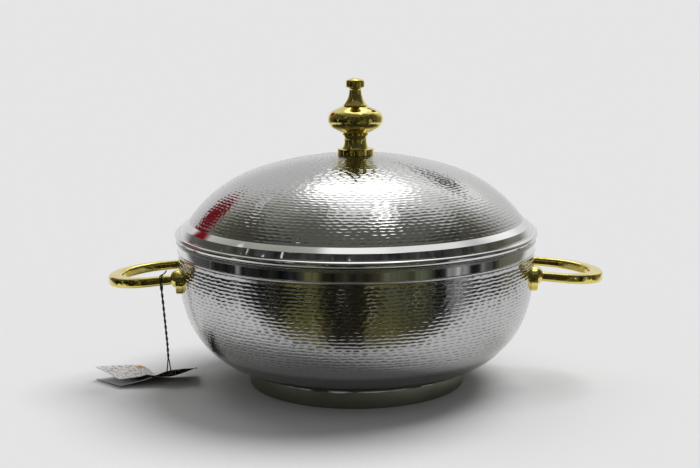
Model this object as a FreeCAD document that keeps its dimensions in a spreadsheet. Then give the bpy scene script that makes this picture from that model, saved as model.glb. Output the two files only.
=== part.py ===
"""Insulated chapati casserole: a hammered, double-walled steel bowl on a foot ring, with two fixed
brass loop handles, and a hammered, double-walled lid with a turned brass finial.

Millimetres. The origin is on the table, at the middle of the foot ring. +Z points up the axis of the
bowl, and the two handles point along +X (right) and -X (left).
"""
import FreeCAD
import Part
import math
import os
import re
import Sketcher

SIZES = {
    # sheet metal and fits
    "shell_gauge": 0.8,         # hammered outer sheets
    "liner_gauge": 0.6,         # smooth inner sheets
    "collar_gauge": 0.7,        # polished band under the lid
    "foot_gauge": 1.0,          # foot ring band
    "sheet_fit": 0.1,           # between two sheets that are pressed together
    "foam_fit": 0.1,            # between the foam and the sheets round it
    "bore_fit": 0.1,            # between a bolt and the hole that it passes through
    "lid_gap": 0.3,             # between the lid bead and the rim that it rests on
    # bowl
    "bowl_radius": 147.5,       # outside of the upright hammered wall
    "belly_height": 98.6,       # where the curve of the belly turns upright
    "belly_arc": 125.3,         # radius of the upper curve of the belly
    "belly_turn": 15.9,         # slope at which the upper curve meets the lower one, degrees
    "floor_height": 12.5,       # outside of the floor above the table
    "wall_space": 12.2,         # foam space between the outer sheet and the liner
    "bowl_height": 112.4,       # top of the hammered wall, where it steps in behind the band
    "step_height": 1.0,         # height of that step
    "rim_height": 124.3,        # top of the rolled rim
    "rim_proud": 1.2,           # how far the rolled rim stands out past the band
    "rim_drop": 2.8,            # depth of the rolled rim
    "rim_bend": 1.3,            # outer bend of the rolled rim
    "mouth_bend": 3.0,          # bend from the liner wall to the rim
    "band_bead": 0.7,           # radius of the bead along the bottom of the band
    "plug_radius": 6.0,         # foam filling hole
    "plug_head": 8.5,
    "plug_flange": 1.2,
    # foot
    "foot_reach": 16.08,        # from the edge of the flat floor out to the foot ring
    "hem_width": 4.0,
    "hem_bend": 1.4,
    # lid
    "bead_radius": 2.5,         # rolled bead round the lid
    "bead_turn": 40.0,          # where on the bead the upright band starts, degrees
    "curl_turn": 210.0,         # where on the bead the rolled edge of the sheet ends, degrees
    "band_rise": 6.1,           # upright band above the bead
    "band_lean": 2.4,
    "shoulder_width": 5.4,      # sloped band between the upright band and the dome
    "shoulder_rise": 3.6,
    "crown_arc": 271.0,         # radius of the top of the dome
    "crown_turn": 17.8,         # slope where the crown meets the side of the dome, degrees
    "dome_turn": 53.9,          # slope at the edge of the dome, degrees
    "skirt_gap": 1.0,           # between the plug skirt of the lid and the mouth of the bowl
    "skirt_depth": 11.0,        # skirt below the top of the rim
    "skirt_bend": 3.0,
    "skirt_land": 9.0,          # flat ring at the bottom of the skirt
    "ceiling_rise": 58.0,       # dome of the lid liner above that ring
    # finial
    "stud_radius": 3.0,
    "base_radius": 15.0,
    "base_thick": 4.9,
    "base_chamfer": 0.5,
    "stem_radius": 9.1,
    "stem_foot_radius": 11.2,
    "stem_head_radius": 10.5,
    "stem_waist": 10.9,         # height of the waist of the stem above the dome
    "stem_height": 17.3,
    "stem_ring": 1.7,           # height of the ring at the top of the stem
    "bulb_radius": 22.6,
    "bulb_height": 22.1,
    "bulb_top_radius": 9.2,
    "bulb_side_arc": 8.3,       # rounding round the rim of the bulb
    "bulb_side_turn": 62.0,     # how far that rounding runs up and down, degrees
    "bulb_flank_arc": 55.0,     # gentle curve above and below the rim
    "lip_radius": 9.8,
    "lip_thick": 1.0,
    "neck_arc": 17.0,           # flare from the lip to the neck
    "neck_radius": 4.95,
    "neck_rise": 11.4,
    "cove_radius": 5.6,
    "cove_rise": 14.7,
    "knob_radius": 7.6,
    "knob_bend": 2.2,
    "cap_height": 22.6,
    "washer_radius": 9.0,
    "washer_thick": 1.2,
    "nut_radius": 5.7,
    "nut_height": 5.0,
    # handles
    "handle_height": 94.0,      # axis of the handle feet
    "handle_spacing": 64.6,     # between the axes of the two arms
    "handle_length": 59.0,      # from the wall of the bowl to the tip of the handle
    "handle_droop": 6.0,        # slope of the loop towards its tip, degrees
    "arm_width": 7.2,
    "tip_width": 11.5,
    "arm_height": 7.2,
    "tip_height": 8.4,
    "bar_round": 2.3,           # rounding along the edges of the loop
    "boss_radius": 10.0,        # disc of each handle foot
    "boss_drop": 2.5,           # how far the middle of the disc lies below the axis of its arm
    "boss_thick": 2.8,          # beyond the wall of the bowl at that axis
    "boss_edge": 0.5,           # rounding of its rim
    "collar_arc": 6.2,          # curve of the domed collar between the disc and the arm
    "collar_radius": 7.4,       # where that collar meets the disc
    "collar_length": 4.5,
    "seat_gap": 0.1,            # between the handle feet and the bowl
    "screw_radius": 2.5,
    "screw_depth": 4.5,         # thread in the handle foot
    "screw_head": 4.5,
    "screw_crown": 3.1,         # flat of the rounded screw head
    "screw_head_thick": 3.0,
    "spreader_radius": 7.5,     # washer under each screw head
    "spreader_thick": 1.2,
    "pocket_space": 0.5,        # foam relief round the screw heads
    # hang tag
    "tag_thick": 0.5,
    "eyelet_bore": 1.5,
    "eyelet_barrel": 2.2,
    "eyelet_rim": 3.4,
    "eyelet_flange": 0.3,
    "eyelet_space": 0.25,       # between the flanges of the eyelet and the bent card
    "string_radius": 0.9,
    "loop_gap": 0.3,            # between the loop of string and the arm
}

PARTS = []
doc = FreeCAD.newDocument("casserole")
sheet = doc.addObject("Spreadsheet::Sheet", "Sizes")
for row, (alias, value) in enumerate(SIZES.items(), start=1):
    sheet.set(f"A{row}", alias)
    sheet.set(f"B{row}", str(value))
    sheet.setAlias(f"B{row}", alias)
doc.recompute()


def bound(formula):
    """The formula with every size read from the spreadsheet."""
    return re.sub(r"[a-z_]+", lambda word: f"Sizes.{word[0]}" if word[0] in SIZES else word[0], formula)


def number(formula):
    """What the formula comes to now, for placing a sketch's first guess."""
    return float(sheet.evalExpression(bound(formula)))


# ---------------------------------------------------------------- sketches and features


def new_body(node):
    """An empty body whose label is the name of its node."""
    body = doc.addObject("PartDesign::Body", node)
    body.Label = node
    PARTS.append(body)
    return body


def origin_item(body, role):
    return next(item for item in body.Origin.OriginFeatures if item.Role == role)


def new_sketch(body, name, plane="XZ_Plane"):
    sketch = body.newObject("Sketcher::SketchObject", name)
    sketch.AttachmentSupport = [(origin_item(body, plane), "")]
    sketch.MapMode = "FlatFace"
    return sketch


def arc_between(start, end, radius, turn):
    """Short arc from start to end that turns left (+1) or right (-1), counted anticlockwise."""
    chord = end - start
    left = FreeCAD.Vector(-chord.y, chord.x, 0).normalize()
    rise = max(radius**2 - (chord.Length / 2) ** 2, 0) ** 0.5
    centre = (start + end) / 2 + left * rise * turn
    first, last = (start, end) if turn > 0 else (end, start)
    circle = Part.Circle(centre, FreeCAD.Vector(0, 0, 1), radius)
    return Part.ArcOfCircle(circle, circle.parameter(first), circle.parameter(last))


def fix_value(sketch, kind, where, formula):
    """One dimension of a sketch, tied to the spreadsheet."""
    index = sketch.addConstraint(Sketcher.Constraint(kind, *where, number(formula)))
    sketch.setExpression(f"Constraints[{index}]", bound(formula))


def fix_point(sketch, edge, place, point):
    """Both distances of a point from the sketch's origin; a plain 0 puts it on the axis itself."""
    for kind, axis, formula in (("DistanceX", -2, point[0]), ("DistanceY", -1, point[1])):
        if formula == "0":
            sketch.addConstraint(Sketcher.Constraint("PointOnObject", edge, place, axis))
        else:
            fix_value(sketch, kind, (-1, 1, edge, place), formula)


def outline(sketch, corners):
    """Closed outline. A corner is (across, up), or (across, up, radius, turn) where an arc starts."""
    points = [FreeCAD.Vector(number(c[0]), number(c[1]), 0) for c in corners]
    ends = []
    for i, corner in enumerate(corners):
        start, end = points[i], points[(i + 1) % len(points)]
        if len(corner) == 2:
            edge = sketch.addGeometry(Part.LineSegment(start, end))
            ends.append((edge, 1, 2))
        else:
            edge = sketch.addGeometry(arc_between(start, end, number(corner[2]), corner[3]))
            ends.append((edge, 1, 2) if corner[3] > 0 else (edge, 2, 1))
    for (edge, _, last), (following, first, _) in zip(ends, ends[1:] + ends[:1]):
        sketch.addConstraint(Sketcher.Constraint("Coincident", edge, last, following, first))
    for (edge, first, _), corner in zip(ends, corners):
        fix_point(sketch, edge, first, corner)
        if len(corner) == 4:
            fix_value(sketch, "Radius", (edge,), corner[2])


def axis_line(sketch, start, end):
    """Construction line that a feature can turn about."""
    first, last = (FreeCAD.Vector(number(p[0]), number(p[1]), 0) for p in (start, end))
    edge = sketch.addGeometry(Part.LineSegment(first, last), True)
    for place, point in ((1, start), (2, end)):
        fix_point(sketch, edge, place, point)


def turned(body, name, sketch, kind="Revolution", axis="V_Axis"):
    """Full turn of a sketch, added to the body or cut from it."""
    before = body.Shape.Volume if body.Tip else 0
    feature = body.newObject(f"PartDesign::{kind}", name)
    feature.Profile = sketch
    feature.ReferenceAxis = (sketch, [axis])
    feature.Angle = 360
    doc.recompute()
    check_volume(body, name, before, kind == "Revolution")
    return feature


def check_volume(body, name, before, grows):
    """A feature that points away from its body changes nothing, so the volume must have moved."""
    change = body.Shape.Volume - before
    if (change <= 0) if grows else (change >= 0):
        raise ValueError(f"{name} changed the volume of {body.Label} by {change}")


def lathe(node, corners):
    """A sub-part made by one full turn of an outline about the axis of the bowl."""
    body = new_body(node)
    sketch = new_sketch(body, f"{node}_section")
    outline(sketch, corners)
    turned(body, f"{node}_turn", sketch)
    return body


def mirrored(body, name, features, planes):
    """Copies of the features across the body's own origin planes, one after the other."""
    transform = body.newObject("PartDesign::MultiTransform", name)
    transform.Originals = features
    steps = []
    for plane in planes:
        step = body.newObject("PartDesign::Mirrored", f"{name}_{plane[:2]}")
        step.MirrorPlane = (origin_item(body, plane), [""])
        steps.append(step)
    transform.Transformations = steps
    body.Tip = transform
    doc.recompute()


# ---------------------------------------------------------------- curves that several pieces share

HEEL_ARC = "((belly_height - floor_height - belly_arc * sin(belly_turn)) / (1 - sin(belly_turn)))"
FLOOR_EDGE = f"(bowl_radius - belly_arc + (belly_arc - {HEEL_ARC}) * cos(belly_turn))"
FOOT_RADIUS = f"({FLOOR_EDGE} + foot_reach)"
MOUTH_INSET = "(shell_gauge + wall_space + liner_gauge)"
MOUTH_RADIUS = f"(bowl_radius - {MOUTH_INSET})"
STEP_IN = "(collar_gauge + sheet_fit)"


def belly(inset, rising=True):
    """Bowl curve moved inward by an inset, from the edge of the floor to the upright wall."""
    turn = 1 if rising else -1
    floor = (FLOOR_EDGE, f"floor_height + {inset}")
    meet = (
        f"bowl_radius - belly_arc + (belly_arc - ({inset})) * cos(belly_turn)",
        f"belly_height - (belly_arc - ({inset})) * sin(belly_turn)",
    )
    wall = (f"bowl_radius - ({inset})", "belly_height")
    lower, upper = f"{HEEL_ARC} - ({inset})", f"belly_arc - ({inset})"
    if rising:
        return [(*floor, lower, turn), (*meet, upper, turn), wall]
    return [(*wall, upper, turn), (*meet, lower, turn), floor]


def underside(radius):
    """Height of the outside of the bowl above the foot ring at a radius near the foot."""
    return f"(floor_height + {HEEL_ARC} - sqrt({HEEL_ARC}^2 - ({radius} - {FLOOR_EDGE})^2))"


WASHER_FOOT = "(belly_height - handle_height + spreader_radius)"
WALL_LOW = f"(bowl_radius - belly_arc + sqrt(belly_arc^2 - {WASHER_FOOT}^2))"
WASHER_FACE = f"({WALL_LOW} - shell_gauge - seat_gap)"
HEAD_FACE = f"({WASHER_FACE} - spreader_thick)"
HEAD_END = f"({HEAD_FACE} - screw_head_thick)"

BEAD_HEIGHT = "(rim_height + lid_gap + bead_radius)"
BAND_FOOT = (
    "(bowl_radius - bead_radius * cos(bead_turn))",
    f"({BEAD_HEIGHT} + bead_radius * sin(bead_turn))",
)
BAND_TOP = (f"({BAND_FOOT[0]} - band_lean)", f"({BAND_FOOT[1]} + band_rise)")
DOME_EDGE = (f"({BAND_TOP[0]} - shoulder_width)", f"({BAND_TOP[1]} + shoulder_rise)")
SIDE_ARC = f"(({DOME_EDGE[0]} - crown_arc * sin(crown_turn)) / (sin(dome_turn) - sin(crown_turn)))"
SIDE_AXIS = f"((crown_arc - {SIDE_ARC}) * sin(crown_turn))"
SIDE_BASE = f"({DOME_EDGE[1]} - {SIDE_ARC} * cos(dome_turn))"
CROWN_BASE = f"({SIDE_BASE} - (crown_arc - {SIDE_ARC}) * cos(crown_turn))"
APEX = f"({CROWN_BASE} + crown_arc)"


def crown(radius, inset):
    """Height of the crown of the dome, moved inward by an inset, at a radius."""
    return f"({CROWN_BASE} + sqrt((crown_arc - ({inset}))^2 - ({radius})^2))"


def dome(centre_radius, inset, rising=False):
    """Dome curve moved inward by an inset, from its middle to its edge, or back when rising."""
    middle = (centre_radius, crown(centre_radius, inset))
    meet = (
        f"(crown_arc - ({inset})) * sin(crown_turn)",
        f"{CROWN_BASE} + (crown_arc - ({inset})) * cos(crown_turn)",
    )
    edge = (
        f"{SIDE_AXIS} + ({SIDE_ARC} - ({inset})) * sin(dome_turn)",
        f"{SIDE_BASE} + ({SIDE_ARC} - ({inset})) * cos(dome_turn)",
    )
    top, side = f"crown_arc - ({inset})", f"{SIDE_ARC} - ({inset})"
    if rising:
        return [(*edge, side, 1), (*meet, top, 1), middle]
    return [(*middle, top, -1), (*meet, side, -1), edge]


# ---------------------------------------------------------------- bowl


def outer_bowl():
    """Hammered outer sheet: floor, belly, upright wall and the step behind the band."""
    shoulder = "bowl_height + step_height"
    wall_top = "rim_height - liner_gauge - sheet_fit"
    body = lathe("outer_bowl", [
        ("plug_radius", "floor_height"),
        *belly("0"),
        ("bowl_radius", "bowl_height"),
        (f"bowl_radius - {STEP_IN}", shoulder),
        (f"bowl_radius - {STEP_IN}", wall_top),
        (f"bowl_radius - {STEP_IN} - shell_gauge", wall_top),
        (f"bowl_radius - {STEP_IN} - shell_gauge", shoulder),
        ("bowl_radius - shell_gauge", "bowl_height"),
        *belly("shell_gauge", rising=False),
        ("plug_radius", "floor_height + shell_gauge"),
    ])
    drill_feet(body, "screw_radius + bore_fit", HEAD_FACE, "bowl_radius + seat_gap")


def rim_collar():
    """Polished band that closes the wall, with a bead along its bottom edge."""
    outside = "bowl_radius"
    inside = "bowl_radius - collar_gauge"
    bead = "(bowl_height + step_height + band_bead)"
    top = "rim_height - liner_gauge - sheet_fit"
    lathe("rim_collar", [
        (inside, f"{bead} - band_bead"),
        (outside, f"{bead} - band_bead", "band_bead", 1),
        (f"{outside} + band_bead", bead, "band_bead", 1),
        (outside, f"{bead} + band_bead"),
        (outside, top),
        (inside, top),
    ])


def inner_liner():
    """Smooth liner that holds the bread, with its edge rolled over the band."""
    back = "(shell_gauge + wall_space)"
    under = "(rim_height - liner_gauge)"
    outside = "(bowl_radius + rim_proud)"
    lathe("inner_liner", [
        ("0", f"floor_height + {back}"),
        *belly(back),
        (f"bowl_radius - ({back})", "rim_height - mouth_bend", "mouth_bend - liner_gauge", -1),
        (f"{MOUTH_RADIUS} + mouth_bend", under),
        (f"{outside} - rim_bend", under, "rim_bend - liner_gauge", -1),
        (f"{outside} - liner_gauge", "rim_height - rim_bend"),
        (f"{outside} - liner_gauge", "rim_height - rim_drop"),
        (outside, "rim_height - rim_drop"),
        (outside, "rim_height - rim_bend", "rim_bend", 1),
        (f"{outside} - rim_bend", "rim_height"),
        (f"{MOUTH_RADIUS} + mouth_bend", "rim_height", "mouth_bend", 1),
        (MOUTH_RADIUS, "rim_height - mouth_bend"),
        *belly(MOUTH_INSET, rising=False),
        ("0", f"floor_height + {MOUTH_INSET}"),
    ])


def bowl_foam():
    """Rigid foam between the two sheets, with room for the screw heads of the handles."""
    outer = "(shell_gauge + foam_fit)"
    inner = "(shell_gauge + wall_space - foam_fit)"
    upper = f"bowl_radius - ({outer}) - {STEP_IN}"
    top = "rim_height - mouth_bend"
    body = lathe("bowl_foam", [
        ("0", f"floor_height + {outer}"),
        *belly(outer),
        (f"bowl_radius - ({outer})", "bowl_height - step_height"),
        (upper, "bowl_height"),
        (upper, top),
        (f"bowl_radius - ({inner})", top),
        *belly(inner, rising=False),
        ("0", f"floor_height + {inner}"),
    ])
    drill_feet(body, "spreader_radius + pocket_space", f"{HEAD_END} - pocket_space", "bowl_radius")


def foam_plug():
    """Plug in the hole that the foam was poured through."""
    lathe("foam_plug", [
        ("0", "floor_height - plug_flange"),
        ("plug_head - plug_flange", "floor_height - plug_flange"),
        ("plug_head", "floor_height"),
        ("plug_radius - bore_fit", "floor_height"),
        ("plug_radius - bore_fit", "floor_height + shell_gauge"),
        ("0", "floor_height + shell_gauge"),
    ])


def foot_ring():
    """Plain band that the bowl stands on, hemmed inward at the table and welded under the belly."""
    inside = f"({FOOT_RADIUS} - foot_gauge)"
    bend = f"{FOOT_RADIUS} - hem_bend"
    hem = f"{FOOT_RADIUS} - hem_width"
    lathe("foot_ring", [
        (hem, "0"),
        (bend, "0", "hem_bend", 1),
        (FOOT_RADIUS, "hem_bend"),
        (FOOT_RADIUS, f"{underside(FOOT_RADIUS)} - sheet_fit"),
        (inside, f"{underside(inside)} - sheet_fit"),
        (inside, "hem_bend", "hem_bend - foot_gauge", -1),
        (bend, "foot_gauge"),
        (hem, "foot_gauge"),
    ])


# ---------------------------------------------------------------- handles

FOOT_TURN = "asin(handle_spacing / 2 / bowl_radius)"


def radial_section(body, name, corners):
    """Outline on the upright plane through the bowl axis and a handle foot, with the foot's own axis."""
    sketch = new_sketch(body, name)
    sketch.AttachmentOffset = FreeCAD.Placement(
        FreeCAD.Vector(), FreeCAD.Rotation(FreeCAD.Vector(0, 1, 0), number(FOOT_TURN))
    )
    sketch.setExpression("AttachmentOffset.Rotation.Angle", bound(FOOT_TURN))
    outline(sketch, corners)
    axis_line(sketch, (corners[0][0], "handle_height"), (corners[1][0], "handle_height"))
    return sketch


def round_bar(radius, start, end):
    """Upper half of a round bar along a foot's axis, as an outline."""
    top = f"handle_height + {radius}"
    return [(start, "handle_height"), (end, "handle_height"), (end, top), (start, top)]


def drill_feet(body, radius, start, end):
    """Four radial holes where the handle screws pass."""
    name = f"{body.Label}_holes"
    sketch = radial_section(body, f"{name}_section", round_bar(radius, start, end))
    hole = turned(body, f"{name}_first", sketch, "Groove", "Axis0")
    mirrored(body, name, [hole], ["XZ_Plane", "YZ_Plane"])


def foot_group(node, corners):
    """Four equal round pieces, one on the axis of each handle foot."""
    body = new_body(node)
    body.AllowCompound = True
    sketch = radial_section(body, f"{node}_section", corners)
    piece = turned(body, f"{node}_turn", sketch, axis="Axis0")
    mirrored(body, f"{node}_group", [piece], ["XZ_Plane", "YZ_Plane"])


def handle_screws():
    """Pan head screws, driven from inside the wall before it was filled."""
    head_top = "handle_height + screw_head"
    shank_top = "handle_height + screw_radius"
    tip = "bowl_radius + screw_depth"
    foot_group("handle_screws", [
        (HEAD_END, "handle_height"),
        (tip, "handle_height"),
        (tip, shank_top),
        (HEAD_FACE, shank_top),
        (HEAD_FACE, head_top),
        (f"{HEAD_FACE} - screw_head_thick / 2", head_top),
        (HEAD_END, "handle_height + screw_crown"),
    ])


def handle_washers():
    """Wide washers that spread the pull of the handles over the thin sheet."""
    bore = "handle_height + screw_radius + bore_fit"
    rim = "handle_height + spreader_radius"
    foot_group("handle_washers", [
        (HEAD_FACE, bore),
        (WASHER_FACE, bore),
        (WASHER_FACE, rim),
        (HEAD_FACE, rim),
    ])


ARM_SIDE = "(handle_spacing / 2)"
HANDLE_TIP = "(bowl_radius + handle_length)"
FOOT_FACE = f"sqrt(bowl_radius^2 - {ARM_SIDE}^2)"
LOOP_RADIUS = "((arm_width / 2 - bar_round) * sqrt(2) + bar_round + loop_gap + string_radius)"


def loop_plan(body):
    """Top view of the loop: two parallel arms and a half-round end that is widest at its tip."""
    outer = f"({ARM_SIDE} + arm_width / 2)"
    inner = f"({ARM_SIDE} - arm_width / 2)"
    outer_turn = f"{HANDLE_TIP} - {outer}"
    inner_turn = f"{HANDLE_TIP} - tip_width - {inner}"
    sketch = new_sketch(body, f"{body.Label}_plan", "XY_Plane")
    outline(sketch, [
        (FOOT_FACE, f"-{outer}"),
        (outer_turn, f"-{outer}", outer, 1),
        (HANDLE_TIP, "0", outer, 1),
        (outer_turn, outer),
        (FOOT_FACE, outer),
        (FOOT_FACE, inner),
        (inner_turn, inner, inner, -1),
        (f"{HANDLE_TIP} - tip_width", "0", inner, -1),
        (inner_turn, f"-{inner}"),
        (FOOT_FACE, f"-{inner}"),
    ])
    return sketch


def loop_side(body):
    """Side view of the loop inside a frame: all between the frame and the loop is cut away."""
    sketch = new_sketch(body, f"{body.Label}_side")
    near, far = FOOT_FACE, HANDLE_TIP
    fall = f"(({far} - {near}) * tan(handle_droop))"
    margin = "boss_radius"
    outline(sketch, [
        (f"{near} - {margin}", f"-{margin}"),
        (f"{far} + {margin}", f"-{margin}"),
        (f"{far} + {margin}", f"2 * handle_height + {margin}"),
        (f"{near} - {margin}", f"2 * handle_height + {margin}"),
    ])
    outline(sketch, [
        (f"{near} - {margin} / 2", "handle_height - arm_height / 2"),
        (near, "handle_height - arm_height / 2"),
        (f"{far} + {margin} / 2", f"handle_height - {fall} - tip_height / 2"),
        (f"{far} + {margin} / 2", f"handle_height - {fall} + tip_height / 2"),
        (near, "handle_height + arm_height / 2"),
        (f"{near} - {margin} / 2", "handle_height + arm_height / 2"),
    ])
    return sketch


SAME_PLACE = 1e-6


def long_edges(shape):
    """Edges that run along the loop, all but those round the two cut ends of the arms."""
    cut = number(FOOT_FACE)
    ends = [face for face in shape.Faces if abs(face.CenterOfMass.x - cut) < SAME_PLACE]
    names = []
    for index, edge in enumerate(shape.Edges, start=1):
        if not any(edge.isSame(other) for face in ends for other in face.Edges):
            names.append(f"Edge{index}")
    return names


DISC_BACK = f"({FOOT_FACE} - boss_radius / 2)"
DISC_FACE = f"({FOOT_FACE} + boss_thick)"


def arm_section(body, name, corners):
    """Outline on the upright plane through one arm, with the axis along its first edge."""
    sketch = new_sketch(body, name)
    sketch.AttachmentOffset = FreeCAD.Placement(FreeCAD.Vector(0, 0, number(ARM_SIDE)), FreeCAD.Rotation())
    sketch.setExpression("AttachmentOffset.Base.z", bound(ARM_SIDE))
    outline(sketch, corners)
    axis_line(sketch, corners[0], corners[1])
    return sketch


def disc_section(body):
    """Disc of one foot, with its middle a little below the arm."""
    middle_height = "(handle_height - boss_drop)"
    rim = f"{middle_height} + boss_radius"
    return arm_section(body, f"{body.Label}_disc_section", [
        (DISC_BACK, middle_height),
        (DISC_FACE, middle_height),
        (DISC_FACE, f"{rim} - boss_edge", "boss_edge", 1),
        (f"{DISC_FACE} - boss_edge", rim),
        (DISC_BACK, rim),
    ])


def collar_section(body):
    """Domed collar between the disc and the arm."""
    end = f"({DISC_FACE} + collar_length)"
    return arm_section(body, f"{body.Label}_collar_section", [
        (DISC_BACK, "handle_height"),
        (end, "handle_height"),
        (end, "handle_height + arm_height / 2", "collar_arc", 1),
        (DISC_FACE, "handle_height + collar_radius"),
        (DISC_BACK, "handle_height + collar_radius"),
    ])


def handle(node, turn):
    """Cast brass loop: a flat-topped bar with a domed collar and a disc at the foot of each arm."""
    body = new_body(node)
    plan = loop_plan(body)
    bar = body.newObject("PartDesign::Pad", f"{node}_bar")
    bar.Profile = plan
    bar.setExpression("Length", bound("2 * handle_height"))
    doc.recompute()
    before = body.Shape.Volume
    side = body.newObject("PartDesign::Pocket", f"{node}_droop")
    side.Profile = loop_side(body)
    side.Type = "ThroughAll"
    side.Midplane = True
    doc.recompute()
    check_volume(body, side.Name, before, False)
    rounds = body.newObject("PartDesign::Fillet", f"{node}_rounds")
    rounds.Base = (side, long_edges(side.Shape))
    rounds.setExpression("Radius", bound("bar_round"))
    doc.recompute()
    disc = turned(body, f"{node}_disc", disc_section(body), axis="Axis0")
    mirrored(body, f"{node}_discs", [disc], ["XZ_Plane"])
    collar = turned(body, f"{node}_collar", collar_section(body), axis="Axis0")
    mirrored(body, f"{node}_collars", [collar], ["XZ_Plane"])
    saddle = new_sketch(body, f"{node}_saddle_section")
    outline(saddle, [
        ("0", "floor_height"),
        *belly("-seat_gap"),
        ("bowl_radius + seat_gap", "rim_height"),
        ("0", "rim_height"),
    ])
    turned(body, f"{node}_saddle", saddle, "Groove")
    thread = round_bar("screw_radius", "bowl_radius / 2", "bowl_radius + screw_depth + bore_fit")
    tapped = radial_section(body, f"{node}_thread_section", thread)
    hole = turned(body, f"{node}_thread", tapped, "Groove", "Axis0")
    mirrored(body, f"{node}_threads", [hole], ["XZ_Plane"])
    body.Placement = FreeCAD.Placement(FreeCAD.Vector(), FreeCAD.Rotation(FreeCAD.Vector(0, 0, 1), turn))


# ---------------------------------------------------------------- lid


def lid_shell():
    """Hammered outer sheet of the lid: dome, shoulder, upright band and the rolled bead."""
    gauge = "shell_gauge"
    roll = f"(bead_radius - {gauge})"
    lathe("lid_shell", [
        *dome("stud_radius + bore_fit", "0"),
        BAND_TOP,
        (*BAND_FOOT, "bead_radius", -1),
        ("bowl_radius + bead_radius", BEAD_HEIGHT, "bead_radius", -1),
        ("bowl_radius + bead_radius * cos(curl_turn)", f"{BEAD_HEIGHT} + bead_radius * sin(curl_turn)"),
        (f"bowl_radius + {roll} * cos(curl_turn)", f"{BEAD_HEIGHT} + {roll} * sin(curl_turn)", roll, 1),
        (f"bowl_radius + {roll}", BEAD_HEIGHT, roll, 1),
        (f"bowl_radius - {roll} * cos(bead_turn)", f"{BEAD_HEIGHT} + {roll} * sin(bead_turn)"),
        (f"{BAND_FOOT[0]} - {gauge}", f"{BEAD_HEIGHT} + {roll} * sin(bead_turn) - {gauge} / 2"),
        (f"{BAND_TOP[0]} - {gauge}", f"{BAND_TOP[1]} - {gauge} / 2"),
        *dome("stud_radius + bore_fit", gauge, rising=True),
    ])


FLANGE = f"({BEAD_HEIGHT} + liner_gauge / 2)"
SKIRT = f"({MOUTH_RADIUS} - skirt_gap)"
SKIRT_FOOT = "(rim_height - skirt_depth)"
LAND = f"({SKIRT} - skirt_bend - skirt_land)"


def ceiling(inset):
    """Radius of the domed ceiling of the lid liner, moved up by an inset."""
    return f"(({LAND}^2 + ceiling_rise^2) / (2 * ceiling_rise) + {inset})"


def ceiling_corner(inset):
    """Where the ceiling meets the flat ring at the bottom of the skirt, for a sheet face at an inset."""
    sag = f"({ceiling('0')} - ceiling_rise)"
    return (f"sqrt({ceiling(inset)}^2 - ({sag} + ({inset}))^2)", f"{SKIRT_FOOT} + {inset}")


def lid_liner():
    """Smooth liner of the lid: flange into the bead, plug skirt and domed ceiling."""
    gauge = "liner_gauge"
    bend = "skirt_bend"
    lathe("lid_liner", [
        ("0", f"{SKIRT_FOOT} + ceiling_rise", ceiling("0"), -1),
        ceiling_corner("0"),
        (f"{SKIRT} - {bend}", SKIRT_FOOT, bend, 1),
        (SKIRT, f"{SKIRT_FOOT} + {bend}"),
        (SKIRT, f"{FLANGE} - {gauge} - {bend} / 2", f"{bend} / 2", -1),
        (f"{SKIRT} + {bend} / 2", f"{FLANGE} - {gauge}"),
        ("bowl_radius", f"{FLANGE} - {gauge}"),
        ("bowl_radius", FLANGE),
        (f"{SKIRT} + {bend} / 2", FLANGE, f"{bend} / 2 + {gauge}", 1),
        (f"{SKIRT} - {gauge}", f"{FLANGE} - {gauge} - {bend} / 2"),
        (f"{SKIRT} - {gauge}", f"{SKIRT_FOOT} + {bend}", f"{bend} - {gauge}", -1),
        (f"{SKIRT} - {bend}", f"{SKIRT_FOOT} + {gauge}"),
        (*ceiling_corner(gauge), ceiling(gauge), 1),
        ("0", f"{SKIRT_FOOT} + ceiling_rise + {gauge}"),
    ])


def lid_foam():
    """Rigid foam inside the lid, with a pocket round the nut of the finial."""
    outer = "(shell_gauge + foam_fit)"
    inner = "(liner_gauge + foam_fit)"
    side = f"{SKIRT} - {inner}"
    body = lathe("lid_foam", [
        *dome("0", outer),
        (f"{BAND_TOP[0]} - {outer}", f"{BAND_TOP[1]} - {outer}"),
        (f"{BAND_FOOT[0]} - 2 * {outer}", f"{FLANGE} + foam_fit"),
        (side, f"{FLANGE} + foam_fit"),
        (side, f"{SKIRT_FOOT} + skirt_bend"),
        (f"{SKIRT} - skirt_bend", f"{SKIRT_FOOT} + {inner}"),
        (*ceiling_corner(inner), ceiling(inner), 1),
        ("0", f"{SKIRT_FOOT} + ceiling_rise + {inner}"),
    ])
    pocket = new_sketch(body, "lid_foam_pocket_section")
    depth = f"{STUD_END} - pocket_space"
    outline(pocket, [
        ("0", depth),
        ("washer_radius + pocket_space", depth),
        ("washer_radius + pocket_space", APEX),
        ("0", APEX),
    ])
    turned(body, "lid_foam_pocket", pocket, "Groove")


# ---------------------------------------------------------------- finial

BORE = "(stud_radius + bore_fit)"
UNDER_CROWN = f"({crown('washer_radius', 'shell_gauge')} - sheet_fit)"
NUT_FACE = f"({UNDER_CROWN} - washer_thick)"
STUD_END = f"({NUT_FACE} - nut_height - pocket_space)"
BASE_TOP = f"({crown('base_radius', '0')} + base_thick)"
STEM_TOP = f"({APEX} + stem_height)"
BULB_TOP = f"({STEM_TOP} + bulb_height)"
CAP_TOP = f"({BULB_TOP} + cap_height)"


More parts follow.
